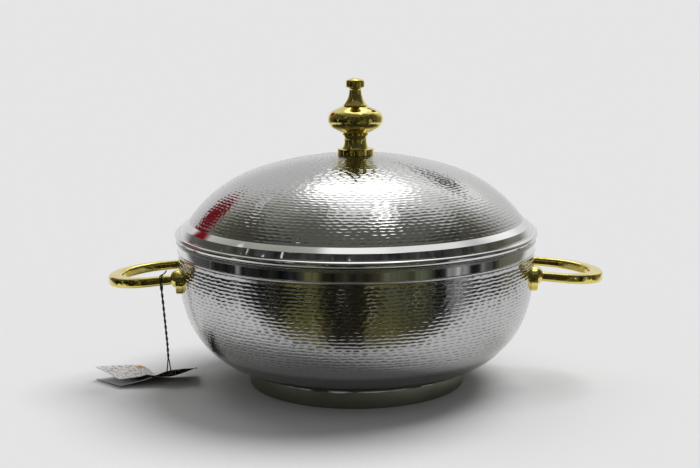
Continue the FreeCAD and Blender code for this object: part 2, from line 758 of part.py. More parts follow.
def finial_base():
    """Disc that sits on the dome, with a waisted stem."""
    lathe("finial_base", [
        (BORE, f"{crown(BORE, '0')} + sheet_fit", "crown_arc", -1),
        ("base_radius", f"{crown('base_radius', '0')} + sheet_fit"),
        ("base_radius", f"{BASE_TOP} - base_chamfer"),
        ("base_radius - base_chamfer", BASE_TOP),
        ("stem_foot_radius", BASE_TOP, "stem_waist", -1),
        ("stem_radius", f"{APEX} + stem_waist", "stem_height", -1),
        ("stem_head_radius - base_chamfer", f"{STEM_TOP} - stem_ring"),
        ("stem_head_radius", f"{STEM_TOP} - stem_ring"),
        ("stem_head_radius", STEM_TOP),
        (BORE, STEM_TOP),
    ])


def finial_bulb():
    """Flattened onion-shaped bulb."""
    waist = f"({STEM_TOP} + bulb_height / 2)"
    flank = "bulb_radius - bulb_side_arc * (1 - cos(bulb_side_turn))"
    rise = "bulb_side_arc * sin(bulb_side_turn)"
    lathe("finial_bulb", [
        (BORE, STEM_TOP),
        ("stem_head_radius", STEM_TOP, "bulb_flank_arc", 1),
        (flank, f"{waist} - {rise}", "bulb_side_arc", 1),
        (flank, f"{waist} + {rise}", "bulb_flank_arc", 1),
        ("bulb_top_radius", BULB_TOP),
        (BORE, BULB_TOP),
    ])


def finial_cap():
    """Flared neck and rounded knob, tapped for the stud."""
    thread_end = f"{BULB_TOP} + neck_rise"
    knob_crown = "((knob_radius - knob_bend)^2 + (knob_bend / 2)^2) / knob_bend"
    lathe("finial_cap", [
        ("stud_radius", BULB_TOP),
        ("lip_radius", BULB_TOP),
        ("lip_radius", f"{BULB_TOP} + lip_thick", "neck_arc", -1),
        ("neck_radius", f"{BULB_TOP} + neck_rise"),
        ("neck_radius", f"{BULB_TOP} + cove_rise - cove_radius + neck_radius"),
        ("cove_radius", f"{BULB_TOP} + cove_rise"),
        ("knob_radius - knob_bend / 2", f"{BULB_TOP} + cove_rise"),
        ("knob_radius", f"{BULB_TOP} + cove_rise + knob_bend / 2"),
        ("knob_radius", f"{CAP_TOP} - knob_bend / 2 - knob_bend", "knob_bend", 1),
        ("knob_radius - knob_bend", f"{CAP_TOP} - knob_bend / 2", knob_crown, 1),
        ("0", CAP_TOP),
        ("0", thread_end),
        ("stud_radius", thread_end),
    ])


def finial_fixings():
    """Stud through the finial, and its washer and nut inside the lid."""
    stud_top = f"{BULB_TOP} + neck_rise - pocket_space"
    nut_foot = f"{NUT_FACE} - nut_height"
    lathe("finial_stud", [
        ("0", STUD_END),
        ("stud_radius", STUD_END),
        ("stud_radius", stud_top),
        ("0", stud_top),
    ])
    lathe("finial_washer", [
        (BORE, NUT_FACE),
        ("washer_radius", NUT_FACE),
        ("washer_radius", UNDER_CROWN),
        (BORE, UNDER_CROWN),
    ])
    body = new_body("finial_nut")
    sketch = new_sketch(body, "finial_nut_section", "XY_Plane")
    hexagon(sketch)
    sketch.AttachmentOffset = FreeCAD.Placement(FreeCAD.Vector(0, 0, number(nut_foot)), FreeCAD.Rotation())
    sketch.setExpression("AttachmentOffset.Base.z", bound(nut_foot))
    pad = body.newObject("PartDesign::Pad", "finial_nut_pad")
    pad.Profile = sketch
    pad.setExpression("Length", bound("nut_height"))
    doc.recompute()


def hexagon(sketch):
    """Nut section: a hexagon round a threaded hole."""
    sides = 6
    turns = [360 / sides * i for i in range(sides)]
    outline(sketch, [(f"nut_radius * cos({turn})", f"nut_radius * sin({turn})") for turn in turns])
    centre = FreeCAD.Vector(0, 0, 0)
    hole = sketch.addGeometry(Part.Circle(centre, FreeCAD.Vector(0, 0, 1), number("stud_radius")))
    sketch.addConstraint(Sketcher.Constraint("Coincident", hole, 3, -1, 1))
    fix_value(sketch, "Radius", (hole,), "stud_radius")


# ---------------------------------------------------------------- hang tag on its string


# Near and far edge of each leaf, from its left end to its right end, measured from the point on the
# table below the foot of the left handle's front arm. The card rests on the table at its far edge, and
# the string holds its near edge up.
CARD_EDGES = [
    ((-49.5, 8.3, 1.8), (-74, 34.3, 0.6)),
    ((-28.5, 12.3, 6), (-39.5, 46.3, 0.6)),
    ((-8.5, 9.3, 14), (-12.5, 39.3, 0.6)),
    ((14.5, 13.3, 15), (10.5, 45.3, 6.5)),
]
EYELET_EDGE = 2                 # which of these lines the eyelet is on
COVER_EDGES = [
    ((-49.9, 6.8, 8), (-73.8, 34.7, 11)),
    ((-33.5, 8.8, 9.5), (-49.5, 40.8, 9)),
    ((-20, 11.3, 10.9), (-27, 42.8, 1.9)),
]
STRING_FOOT = 8.7               # height of the lower end of the string, in the eyelet
# The string across and away from the same point, and how far up it is between its foot and the arm.
STRING_ROUTE = [
    (-11.6, 0, 1),
    (-10.6, 1.5, 0.793),
    (-10, 7.3, 0.534),
    (-9.7, 15.5, 0.263),
    (-10.7, 24.8, 0),
]


def below_arm(point):
    """Where a point of the tag or the string is, from the origin of the casserole."""
    across, away, up = point
    return FreeCAD.Vector(across - number("bowl_radius"), away - number(ARM_SIDE), up)


def middle(line):
    """Point halfway between the near and the far edge of a leaf."""
    return (below_arm(line[0]) + below_arm(line[1])) / 2


def facing(line, along):
    """Direction that a leaf faces at one of its lines, where it runs in the given direction."""
    return along.cross(below_arm(line[1]) - below_arm(line[0])).normalize()


def tag_leaf(lines):
    """Bent leaf of card through the given lines, thickened upward."""
    outlines = []
    for line in lines:
        lift = facing(line, FreeCAD.Vector(1, 0, 0)) * number("tag_thick")
        low = [below_arm(point) for point in line]
        high = [point + lift for point in reversed(low)]
        outlines.append(Part.makePolygon(low + high + low[:1]))
    return Part.makeLoft(outlines, True)


def plain_part(node, shape):
    """A sub-part that is one shape, made by hand-placed geometry."""
    part = doc.addObject("Part::Feature", node)
    part.Label = node
    part.Shape = shape
    PARTS.append(part)


def hang_tag():
    """Card with a cover leaf above it, and the eyelet that the string passes through."""
    centre = middle(CARD_EDGES[EYELET_EDGE])
    along = middle(CARD_EDGES[EYELET_EDGE + 1]) - middle(CARD_EDGES[EYELET_EDGE - 1])
    axis = facing(CARD_EDGES[EYELET_EDGE], along)
    barrel = number("eyelet_barrel + bore_fit")
    depth = number("eyelet_rim")
    hole = Part.makeCylinder(barrel, 2 * depth, centre - axis * depth, axis)
    plain_part("tag_card", tag_leaf(CARD_EDGES).cut(hole))
    plain_part("tag_cover", tag_leaf(COVER_EDGES))
    under = "(-eyelet_space)"
    over = "(tag_thick + eyelet_space)"
    body = lathe("tag_eyelet", [
        ("eyelet_bore", f"{under} - eyelet_flange"),
        ("eyelet_rim", f"{under} - eyelet_flange"),
        ("eyelet_rim", under),
        ("eyelet_barrel", under),
        ("eyelet_barrel", over),
        ("eyelet_rim", over),
        ("eyelet_rim", f"{over} + eyelet_flange"),
        ("eyelet_bore", f"{over} + eyelet_flange"),
    ])
    body.Placement = FreeCAD.Placement(centre, FreeCAD.Rotation(FreeCAD.Vector(0, 0, 1), axis))


ARC_SHARE = 0.45                # how much of the shorter run each bend of the string takes up
STRING_ERROR = 0.01             # how far the volume of the string may be from section times length


def smooth_path(points):
    """Straight runs along the points, joined by tangent arcs as large as the runs allow."""
    edges, last = [], points[0]
    for before, corner, after in zip(points, points[1:], points[2:]):
        back, ahead = before - corner, after - corner
        half_turn = (FreeCAD.Vector() - back).getAngle(ahead) / 2
        cut = ARC_SHARE * min(back.Length, ahead.Length)
        back.normalize()
        ahead.normalize()
        start, end = corner + back * cut, corner + ahead * cut
        radius = cut / math.tan(half_turn)
        centre = corner + (back + ahead).normalize() * (radius / math.cos(half_turn))
        middle = centre + (corner - centre).normalize() * radius
        edges += [Part.LineSegment(last, start).toShape(), Part.Arc(start, middle, end).toShape()]
        last = end
        print(f"string bend: radius {radius:.0f} mm, turn {math.degrees(2 * half_turn):.1f} degrees")
    edges.append(Part.LineSegment(last, points[-1]).toShape())
    return Part.Wire(edges)


def tag_string():
    """String down to the tag, as a plain tube, and the loop that ties it round the front arm."""
    radius = number("string_radius")
    arm = number("bowl_radius") - STRING_ROUTE[0][0]
    height = number(f"handle_height - ({arm} - {FOOT_FACE}) * tan(handle_droop)")
    hang = height - number(f"{LOOP_RADIUS} + string_radius + loop_gap / 2") - STRING_FOOT
    route = [below_arm((across, away, STRING_FOOT + hang * share)) for across, away, share in STRING_ROUTE]
    path = smooth_path(route)
    ring = Part.Wire(Part.Circle(route[0], route[1] - route[0], radius).toShape())
    tube = path.makePipeShell([ring], True, False)
    expected = math.pi * radius**2 * path.Length
    if abs(tube.Volume / expected - 1) > STRING_ERROR:
        raise ValueError(f"the string holds {tube.Volume:.1f} mm3 and should hold {expected:.1f}")
    plain_part("tag_string", tube)
    print(f"string: {path.Length:.1f} mm long")
    loop = doc.addObject("Part::Torus", "string_loop")
    loop.Label = "string_loop"
    loop.setExpression("Radius1", bound(f"{LOOP_RADIUS} * 1 mm"))
    loop.setExpression("Radius2", bound("string_radius * 1 mm"))
    centre = FreeCAD.Vector(-arm, -number(ARM_SIDE), height)
    loop.Placement = FreeCAD.Placement(centre, FreeCAD.Rotation(FreeCAD.Vector(0, 1, 0), 90))
    PARTS.append(loop)


# ---------------------------------------------------------------- build, check and write

outer_bowl()
rim_collar()
inner_liner()
bowl_foam()
foam_plug()
foot_ring()
handle("right_handle", 0)
handle("left_handle", 180)
handle_screws()
handle_washers()
lid_shell()
lid_liner()
lid_foam()
finial_base()
finial_bulb()
finial_cap()
finial_fixings()
hang_tag()
tag_string()
doc.recompute()

failed = [item.Label for item in doc.Objects if {"Invalid", "Error"} & set(item.State)]
failed += [part.Label for part in PARTS if part.Shape.isNull() or not part.Shape.isValid()]
if failed:
    raise ValueError(f"these did not build: {', '.join(failed)}")

os.makedirs("parts", exist_ok=True)
for part in PARTS:
    part.Shape.exportStep(f"parts/{part.Label}.step")
    print(f"{part.Label}: {len(part.Shape.Solids)} solids, {part.Shape.Volume / 1000:.1f} cm3")
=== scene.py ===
import math
import random

import bmesh
import bpy
from mathutils import Matrix, Vector, geometry


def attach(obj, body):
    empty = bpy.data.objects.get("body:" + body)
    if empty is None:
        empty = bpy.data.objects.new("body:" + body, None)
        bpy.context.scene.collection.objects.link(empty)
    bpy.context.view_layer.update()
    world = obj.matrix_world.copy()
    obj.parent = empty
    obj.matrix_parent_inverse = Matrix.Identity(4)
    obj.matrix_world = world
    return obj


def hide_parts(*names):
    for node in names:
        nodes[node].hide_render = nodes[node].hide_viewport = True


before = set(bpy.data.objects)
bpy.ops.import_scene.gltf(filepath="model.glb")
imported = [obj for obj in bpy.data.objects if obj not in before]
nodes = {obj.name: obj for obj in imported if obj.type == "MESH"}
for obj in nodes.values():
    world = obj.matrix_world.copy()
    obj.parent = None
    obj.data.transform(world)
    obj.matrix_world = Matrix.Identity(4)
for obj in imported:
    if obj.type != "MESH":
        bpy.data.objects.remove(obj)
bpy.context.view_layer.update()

# %% [markdown]
# # A hammered, double-walled casserole for flat breads
#
# The casserole is a spun steel bowl on a foot ring, with a lid that plugs into its mouth, two cast brass
# loop handles and a turned brass finial. Its solids come from the imported model in metres. Most visible
# pieces are made again here with a finer surface, in the same place; the loops of the handles are smoothed
# copies, and the eyelet and the hidden pieces keep their imported shape. Sizes are written in millimetres,
# as on a workshop drawing, and `MM` turns them into metres when a mesh is made.

# %% The frame that everything sits in
MM = 0.001

# %% [markdown]
# ## Camera
#
# A long lens from a little over a metre away keeps the rims as flat ovals and the foot only slightly
# smaller than the rim. It could stand level, but a view from 11 degrees above shows the dome and the top of
# the handles. The small shifts place the casserole in the frame without tilting the camera.

# %% Camera
AIM = Vector((0, 0, 100.3)) * MM
DISTANCE = 1170.4 * MM
RISE = math.radians(11.36)
SWING = math.radians(-1.0)
ROLL = math.radians(-0.33)


def put_in(name, data):
    """A new object in the scene that holds the given data."""
    made = bpy.data.objects.new(name, data)
    bpy.context.scene.collection.objects.link(made)
    return made


camera_data = bpy.data.cameras.new("camera")
camera_data.lens = 72
camera_data.sensor_width = 36
camera_data.shift_x = -0.00886
camera_data.shift_y = 0.0397
camera = put_in("camera", camera_data)
level = math.cos(RISE)
towards = Vector((math.sin(SWING) * level, -math.cos(SWING) * level, math.sin(RISE)))
tilt = (-towards).to_track_quat("-Z", "Y") @ Matrix.Rotation(ROLL, 3, "Z").to_quaternion()
camera.matrix_world = Matrix.Translation(AIM + towards * DISTANCE) @ tilt.to_matrix().to_4x4()
bpy.context.scene.camera = camera
bpy.context.scene.view_settings.view_transform = "Standard"
print("camera at", [round(v, 3) for v in camera.location])

# %% [markdown]
# ## Helpers for finishes
#
# Every finish here is a small tree of shader nodes. Wiring each node by hand takes four lines, so a few
# helpers make a node, a colour ramp, a sum and a blend in one line each.

# %% Helpers for node materials


def add_node(tree, kind, inputs=None, **settings):
    """One shader node with its inputs, each a value or another node's output."""
    node = tree.nodes.new(kind)
    for key, value in settings.items():
        setattr(node, key, value)
    for key, value in (inputs or {}).items():
        if isinstance(value, bpy.types.NodeSocket):
            tree.links.new(value, node.inputs[key])
        else:
            node.inputs[key].default_value = value
    return node


def ramp(tree, factor, stops):
    """Colour output of a ramp with (place, grey or colour) stops."""
    node = add_node(tree, "ShaderNodeValToRGB", {"Fac": factor})
    for i, (place, tone) in enumerate(stops):
        stop = node.color_ramp.elements[i] if i < 2 else node.color_ramp.elements.new(place)
        stop.position = place
        stop.color = (*tone, 1) if isinstance(tone, tuple) else (tone, tone, tone, 1)
    return node.outputs["Color"]


def sums(tree, operation, a, b=0.0):
    """Result of a math node."""
    return add_node(tree, "ShaderNodeMath", {0: a, 1: b}, operation=operation).outputs[0]


def spread_out(tree, value, low, high, to_low=0.0, to_high=1.0, kind="LINEAR"):
    """A value between low and high, spread over another range and clamped to it."""
    limits = {"Value": value, "From Min": low, "From Max": high, "To Min": to_low, "To Max": to_high}
    return add_node(tree, "ShaderNodeMapRange", limits, interpolation_type=kind).outputs[0]


def blend_colours(tree, factor, a, b, mode="MIX"):
    """Result of mixing two colours."""
    mixer = add_node(tree, "ShaderNodeMix", data_type="RGBA", blend_type=mode)
    for socket, value in zip((mixer.inputs[0], mixer.inputs[6], mixer.inputs[7]), (factor, a, b)):
        if isinstance(value, bpy.types.NodeSocket):
            tree.links.new(value, socket)
        else:
            socket.default_value = (*value, 1) if isinstance(value, tuple) else value
    return mixer.outputs[2]


def noise(tree, place, scale, detail):
    """Value of a noise over the given place."""
    settings = {"Vector": place, "Scale": scale, "Detail": detail}
    return add_node(tree, "ShaderNodeTexNoise", settings).outputs[0]


# %% Helpers that start and end a finish
NOISE_LOW, NOISE_HIGH = 0.3, 0.7  # nearly all of a noise lies between these


def new_finish(name):
    """A new material with its node tree and its shader."""
    finish = bpy.data.materials.new(name)
    finish.use_nodes = True
    return finish, finish.node_tree, finish.node_tree.nodes["Principled BSDF"]


def dress(tree, shader, tone, rough, height, strength, distance):
    """Gives a shader its colour, its roughness and a bump that follows height."""
    relief = {"Height": height, "Strength": strength, "Distance": distance}
    bump = add_node(tree, "ShaderNodeBump", relief).outputs[0]
    for value, socket in ((tone, "Base Color"), (rough, "Roughness"), (bump, "Normal")):
        tree.links.new(value, shader.inputs[socket])


def plain_finish(name, shine, tones, scale, detail=4.0, bump=0.1, height=0.0002, metallic=0.0):
    """Finish whose colour, roughness and bump follow one noise; tones are the stops of its ramp."""
    finish, tree, shader = new_finish(name)
    shader.inputs["Metallic"].default_value = metallic
    place = add_node(tree, "ShaderNodeTexCoord").outputs["Object"]
    clouds = noise(tree, place, scale, detail)
    rough = spread_out(tree, clouds, NOISE_LOW, NOISE_HIGH, shine * 0.8, shine * 1.2)
    dress(tree, shader, ramp(tree, clouds, tones), rough, clouds, bump, height)
    return finish


# %% [markdown]
# ## String of the hang tag
#
# A black cord, laid from two strands, is tied round the front arm of the left handle and drops to the
# eyelet of the tag. One tube would look like wire. Here a smooth spline gives the centre line, and two thin
# strands wind round it, as they do on the real cord. Just above the eyelet the two strands part.

# %% Centre line of the string
STRING_ROUTE = [
    (-159.1, -32.3, 86),
    (-158.1, -30.8, 70),
    (-157.5, -25.0, 50),
    (-157.2, -16.8, 29),
    (-158.2, -7.5, 8.7),
]


def mesh_of(name, data):
    """Mesh of a curve."""
    curve = put_in(name, data)
    bpy.context.view_layer.update()
    mesh = bpy.data.meshes.new_from_object(curve)
    bpy.data.objects.remove(curve)
    return mesh


def centre_line(name, route):
    """Points close together along a smooth spline whose control points are the route."""
    data = bpy.data.curves.new(name, "CURVE")
    data.dimensions = "3D"
    data.resolution_u = 24
    spline = data.splines.new("NURBS")
    spline.points.add(len(route) - 1)
    for point, place in zip(spline.points, route):
        point.co = (*(Vector(place) * MM), 1)
    spline.order_u = 3
    spline.use_endpoint_u = True
    return [vertex.co.copy() for vertex in mesh_of(name, data).vertices]


string_points = centre_line("string_line", STRING_ROUTE)
string_run = sum((b - a).length for a, b in zip(string_points, string_points[1:]))
print(f"string: {len(string_points)} points, {string_run / MM:.1f} mm")

# %% Tubes for strands


def tubes(name, paths, radius, cyclic=False):
    """One mesh of round tubes that follow the given lists of points, in metres."""
    data = bpy.data.curves.new(name, "CURVE")
    data.dimensions = "3D"
    data.bevel_depth = radius
    data.bevel_resolution = 2
    data.use_fill_caps = True
    for path in paths:
        spline = data.splines.new("POLY")
        spline.points.add(len(path) - 1)
        for point, place in zip(spline.points, path):
            point.co = (*place, 1)
        spline.use_cyclic_u = cyclic
    mesh = mesh_of(name, data)
    mesh.name = name
    return mesh


def strand(points, spread, twist, start, part_at, part_spread):
    """Points of one strand that winds round a centre line, one turn for every twist of its length.

    Past part_at of the length, the winding stops and the strand moves out to part_spread."""
    runs = [0.0]
    for a, b in zip(points, points[1:]):
        runs.append(runs[-1] + (b - a).length)
    wound = []
    for i, point in enumerate(points):
        ahead = points[min(i + 1, len(points) - 1)] - points[max(i - 1, 0)]
        side = ahead.cross(Vector((0, 1, 0))).normalized()
        front = side.cross(ahead).normalized()
        run, out = runs[i], spread
        if run > part_at:
            out += (part_spread - spread) * (run - part_at) / (runs[-1] - part_at)
            run = part_at
        angle = start + 2 * math.pi * run / twist
        wound.append(point + (side * math.cos(angle) + front * math.sin(angle)) * out)
    return wound


def place_piece(mesh, body, material, node):
    """Puts a finished mesh in the scene, on its body, with its finish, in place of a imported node."""
    piece = put_in(mesh.name, mesh)
    piece.data.materials.clear()
    piece.data.materials.append(material)
    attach(piece, body)
    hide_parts(node)
    triangles = sum(len(face.vertices) - 2 for face in mesh.polygons)
    print(f"{piece.name}: {triangles} triangles")
    return piece


# %% Twisted string
STRAND = 0.52
TWIST = 11.5
PART_AT = 69.0                # length from the knot at which the two strands part
PARTED = 1.7                  # each strand's distance from the middle where it reaches the eyelet
INTO_EYELET = Vector((0.15, -0.5, -2.2))
string_black = plain_finish("string_black", 0.6, [(0.35, 0.004), (0.7, 0.03)], 900, bump=0.4)
strands = []
for start in (0, math.pi):
    wound = strand(string_points, STRAND * MM, TWIST * MM, start, PART_AT * MM, PARTED * MM)
    strands.append(wound + [string_points[-1].lerp(wound[-1], 0.4) + INTO_EYELET * MM])
string_mesh = tubes("twisted_string", strands, STRAND * MM)
string = place_piece(string_mesh, "bowl", string_black, "tag_string")

# %% Two wraps round the arm and the knot under it
ARM_FACE = 143.93             # where the arms leave the bowl, from its axis
ARM_SIDE = 32.3
ARM_HEIGHT = 94.0
DROOP = math.radians(6)
ARM_HALF, ARM_ROUND = 3.6, 2.3


def arm_centre(along):
    """Height of the middle of an arm at a distance from the bowl's axis."""
    return ARM_HEIGHT - (along - ARM_FACE) * math.tan(DROOP)


def wrap(along, lean):
    """Points of one turn of string round the front arm of the left handle, leaning sideways by lean."""
    corner, flat = ARM_ROUND + STRAND, ARM_HALF - ARM_ROUND
    points = []
    for quarter, (side, up) in enumerate(((1, 1), (-1, 1), (-1, -1), (1, -1))):
        for step in range(7):
            angle = math.radians(90 * quarter + 15 * step)
            y = side * flat + corner * math.cos(angle)
            z = up * flat + corner * math.sin(angle)
            place = Vector((lean * z / ARM_HALF - along, y - ARM_SIDE, z + arm_centre(along)))
            points.append(place * MM)
    return points


def coil(centre, radius, pitch, turns):
    """Points of a small upright helix."""
    steps = round(turns * 14)
    angles = [2 * math.pi * turns * i / steps for i in range(steps + 1)]
    fall = pitch / (2 * math.pi)
    wound = [Vector((radius * math.cos(a), radius * math.sin(a), -fall * a)) for a in angles]
    return [(Vector(centre) + place) * MM for place in wound]


WRAPS = [(158.6, 0.3), (159.6, -0.25)]        # distance from the bowl's axis, and lean
KNOT_TOP, KNOT_RADIUS, KNOT_PITCH, KNOT_TURNS = (-159.1, -32.3, 88.1), 0.85, 0.85, 3
TAIL_ROUTE = [
    (-159.9, -31.8, 96.5),
    (-158.4, -31.2, 97.2),
    (-156.2, -30.4, 98.2),
    (-154.9, -29.8, 100.6),
]
wraps_mesh = tubes("string_wraps", [wrap(*turn) for turn in WRAPS], STRAND * MM, cyclic=True)
wraps = place_piece(wraps_mesh, "bowl", string_black, "string_loop")
knot_coil = coil(KNOT_TOP, KNOT_RADIUS, KNOT_PITCH, KNOT_TURNS)
knot_mesh = tubes("string_knot", [knot_coil, centre_line("string_tail", TAIL_ROUTE)], STRAND * MM)
knot = place_piece(knot_mesh, "bowl", string_black, "string_loop")

# %% [markdown]
# ## Hang tag
#
# The tag is a card folded once. Its dark leaf lies half on the table, with its near edge held up by the
# string, and its light cover has sprung open above it. A flat box would look like a plate. Here each leaf is
# a flat grid whose points move onto a smooth surface through a few bent lines. The sheet gets its thickness
# last, and its cut edges show the white of the board.

# %% Lines that the leaves bend along
ARM_FOOT = Vector((-147.5, -ARM_SIDE, 0))
CARD_EDGES = [
    ((-49.5, 8.3, 1.8), (-73.99, 34.3, 0.6)),
    ((-28.5, 12.3, 6), (-39.5, 46.3, 0.6)),
    ((-8.5, 9.3, 14), (-12.5, 39.3, 0.6)),
    ((14.5, 13.3, 15), (10.5, 45.3, 6.5)),
]
COVER_EDGES = [
    ((-49.9, 6.8, 8), (-73.8, 34.7, 11)),
    ((-33.5, 8.8, 9.5), (-49.5, 40.8, 10.5)),
    ((-27, 10, 11), (-34, 42, 9)),
    ((-20, 11.3, 10.9), (-26, 42.8, 1.9)),
]
BOARD = 0.4
EYELET = Vector((-158.0, -8.0, 7.3))
EYELET_BARREL = 2.3


def smooth_line(points, steps):
    """Points along a smooth curve through the given ones, with so many steps between two of them."""
    line = [points[0]]
    for i, (start, end) in enumerate(zip(points, points[1:])):
        before, after = points[max(i - 1, 0)], points[min(i + 2, len(points) - 1)]
        handles = start + (end - before) / 6, end - (after - start) / 6
        line += geometry.interpolate_bezier(start, *handles, end, steps + 1)[1:]
    return line


# %% A bent leaf of board
LEAF_STEPS, LEAF_ROWS = 14, 28
LIFT = 0.25                   # keeps the underside of the board off the table


def leaf(name, lines, hole=None):
    """Sheet of board a little above the given lines; each vertex keeps its place on the flat leaf."""
    ends = ([ARM_FOOT + Vector(line[end]) for line in lines] for end in (0, 1))
    near, far = (smooth_line(end, LEAF_STEPS) for end in ends)
    columns = len(near) - 1
    sheet = bmesh.new()
    bmesh.ops.create_grid(sheet, x_segments=columns, y_segments=LEAF_ROWS, size=0.5)
    printed = sheet.verts.layers.float_vector.new("printed")
    length = sum((b - a).length for a, b in zip(near, near[1:]))
    for vertex in sheet.verts:
        along, away = vertex.co.x + 0.5, vertex.co.y + 0.5
        column = round(along * columns)
        vertex[printed] = Vector((along * length, away * (far[column] - near[column]).length, 0))
        vertex.co = (near[column].lerp(far[column], away) + Vector((0, 0, LIFT))) * MM
    if hole:
        gaps = {face: (face.calc_center_median() / MM - hole).length for face in sheet.faces}
        cut = [face for face, gap in gaps.items() if gap < EYELET_BARREL]
        bmesh.ops.delete(sheet, geom=cut, context="FACES")
    bmesh.ops.recalc_face_normals(sheet, faces=sheet.faces)
    bmesh.ops.solidify(sheet, geom=sheet.faces, thickness=BOARD * MM)
    bmesh.ops.recalc_face_normals(sheet, faces=sheet.faces)
    for face in sheet.faces:
        face.smooth = True
        narrowest = min(edge.calc_length() for edge in face.edges)
        face.material_index = int(narrowest < 1.3 * BOARD * MM)       # 1 on the cut edges
    for crease in sheet.edges:
        crease.smooth = len({face.material_index for face in crease.link_faces}) == 1
    heights = [vertex.co.z / MM for vertex in sheet.verts]
    span = f"{min(heights):.2f} to {max(heights):.2f} mm high"
    print(f"{name}: {length:.1f} mm along its near edge, {span}")
    mesh = bpy.data.meshes.new(name)
    sheet.to_mesh(mesh)
    sheet.free()
    return mesh


# %% Board finishes


def board(name, shine, ground, marks, share, scale, spot=None, page=None):
    """Printed board: flecks over a ground, and where given a plain round spot or a light page with painted
    shade.

    The page has shade painted into its colour: it is darker where the cover shades it, behind its near edge
    and towards the fold."""
    finish, tree, shader = new_finish(name)
    shader.inputs["Specular IOR Level"].default_value = 0.0   # uncoated board shows no gloss
    place = add_node(tree, "ShaderNodeAttribute", attribute_name="printed").outputs["Vector"]
    rows = add_node(tree, "ShaderNodeMapping", {"Vector": place, "Scale": scale}).outputs[0]
    marked = spread_out(tree, noise(tree, rows, 1.0, 3.0), share, share + 0.06)
    tone = blend_colours(tree, sums(tree, "MULTIPLY", marked, 0.8), ground, marks)
    if spot:
        middle, radius, colour = spot
        gap = add_node(tree, "ShaderNodeVectorMath", {0: place, 1: middle}, operation="DISTANCE")
        inside = spread_out(tree, gap.outputs["Value"], radius - 0.4, radius, 1.0, 0.0)
        tone = blend_colours(tree, inside, tone, colour)
    # Painted shade on the light page: a dark tone that grows towards the fold and away from the near edge,
    # where the cover shades it; past the page's length the print takes over.
    if page:
        length, *page_and_shade_tones = page
        parts = add_node(tree, "ShaderNodeSeparateXYZ", {0: place})
        along = parts.outputs["X"]
        shade_inwards = spread_out(tree, parts.outputs["Y"], 0.8, 3.0, 0.15, 1.0)
        shade_to_fold = spread_out(tree, along, length * 0.2, length * 0.65)
        page_with_painted_shade = blend_colours(tree, sums(tree, "MULTIPLY", shade_to_fold, shade_inwards), *page_and_shade_tones)
        tone = blend_colours(tree, spread_out(tree, along, length - 0.5, length), page_with_painted_shade, tone)
    fibres = noise(tree, place, 2.5, 6.0)
    rough = spread_out(tree, fibres, NOISE_LOW, NOISE_HIGH, shine - 0.06, shine + 0.06)
    dress(tree, shader, tone, rough, fibres, 0.15, 0.0001)
    return finish


DARK_PRINT, TAN_FLECKS = (0.010, 0.010, 0.008), (0.36, 0.28, 0.16)
PALE_PRINT, GREY_FLECKS = (0.82, 0.81, 0.79), (0.42, 0.38, 0.38)
# Length of the light page, its own tone, and the painted shade laid on it under the cover.
PAGE_AND_PAINTED_SHADE = 28, (0.70, 0.71, 0.72), (0.05, 0.05, 0.05)             # length, light and dark tone
SPOT = (17.5, 27.5, 0), 3.8, (0.66, 0.36, 0.16)               # middle, radius, tone
dark_board = board("dark_board", 0.32, DARK_PRINT, TAN_FLECKS, 0.53, (0.36, 0.10, 1), page=PAGE_AND_PAINTED_SHADE)
light_board = board("light_board", 0.5, PALE_PRINT, GREY_FLECKS, 0.50, (0.95, 0.2, 1), spot=SPOT)
board_edge = plain_finish("board_edge", 0.7, [(0.4, 0.62), (0.7, 0.78)], 1500)
print("board finishes:", dark_board.name, light_board.name, board_edge.name)

# %% Card and cover
card_mesh = leaf("tag_leaf_dark", CARD_EDGES, EYELET)
cover_mesh = leaf("tag_leaf_light", COVER_EDGES)
card = place_piece(card_mesh, "bowl", dark_board, "tag_card")
cover = place_piece(cover_mesh, "bowl", light_board, "tag_cover")
for made in (card, cover):
    made.data.materials.append(board_edge)

# %% [markdown]
# ## Floor, room and light
#
# Polished steel shows whatever stands round it, so the room matters as much as the metal. The bowl stands
# on a pale sheet under soft light from above and behind. In front of the sheet's near edge and above it the
# room is dark and olive, and it is this that draws the dark shape in the wall of the bowl. A room of real
# walls could be built. A world that gives reflections their own colours is simpler, and it leaves the light
# on the object plain.

# %% Directions in the room


def heading(azimuth, elevation):
    """Direction, with azimuth 0 towards the front and 90 towards the right handle."""
    a, e = math.radians(azimuth), math.radians(elevation)
    return Vector((math.sin(a) * math.cos(e), -math.cos(a) * math.cos(e), math.sin(e)))


def patch(tree, way, direction, inner, outer):
    """1 inside a cone about a direction, falling to 0 outside; inner and outer in degrees."""
    dot = add_node(tree, "ShaderNodeVectorMath", {0: way, 1: direction}, operation="DOT_PRODUCT")
    limits = math.cos(math.radians(outer)), math.cos(math.radians(inner))
    return spread_out(tree, dot.outputs["Value"], *limits, kind="SMOOTHSTEP")


world = bpy.data.worlds.new("room")
bpy.context.scene.world = world
world.use_nodes = True
room = world.node_tree
room.nodes.clear()
way = add_node(room, "ShaderNodeTexCoord").outputs["Generated"]
parts = add_node(room, "ShaderNodeSeparateXYZ", {0: way})
frontwards = sums(room, "MULTIPLY", parts.outputs["Y"], -1.0)
azimuth = sums(room, "ARCTAN2", parts.outputs["X"], frontwards)
around = sums(room, "ADD", sums(room, "MULTIPLY", azimuth, 0.5 / math.pi), 0.5)


def all_round(*stops):
    """Tone round the room, through (azimuth in degrees, tone) stops."""
    return ramp(room, around, [(degrees / 360 + 0.5, tone) for degrees, tone in stops])


def above(low, high):
    """0 for directions below one elevation, 1 above the other, in degrees."""
    limits = math.sin(math.radians(low)), math.sin(math.radians(high))
    return spread_out(room, parts.outputs["Z"], *limits, kind="SMOOTHSTEP")


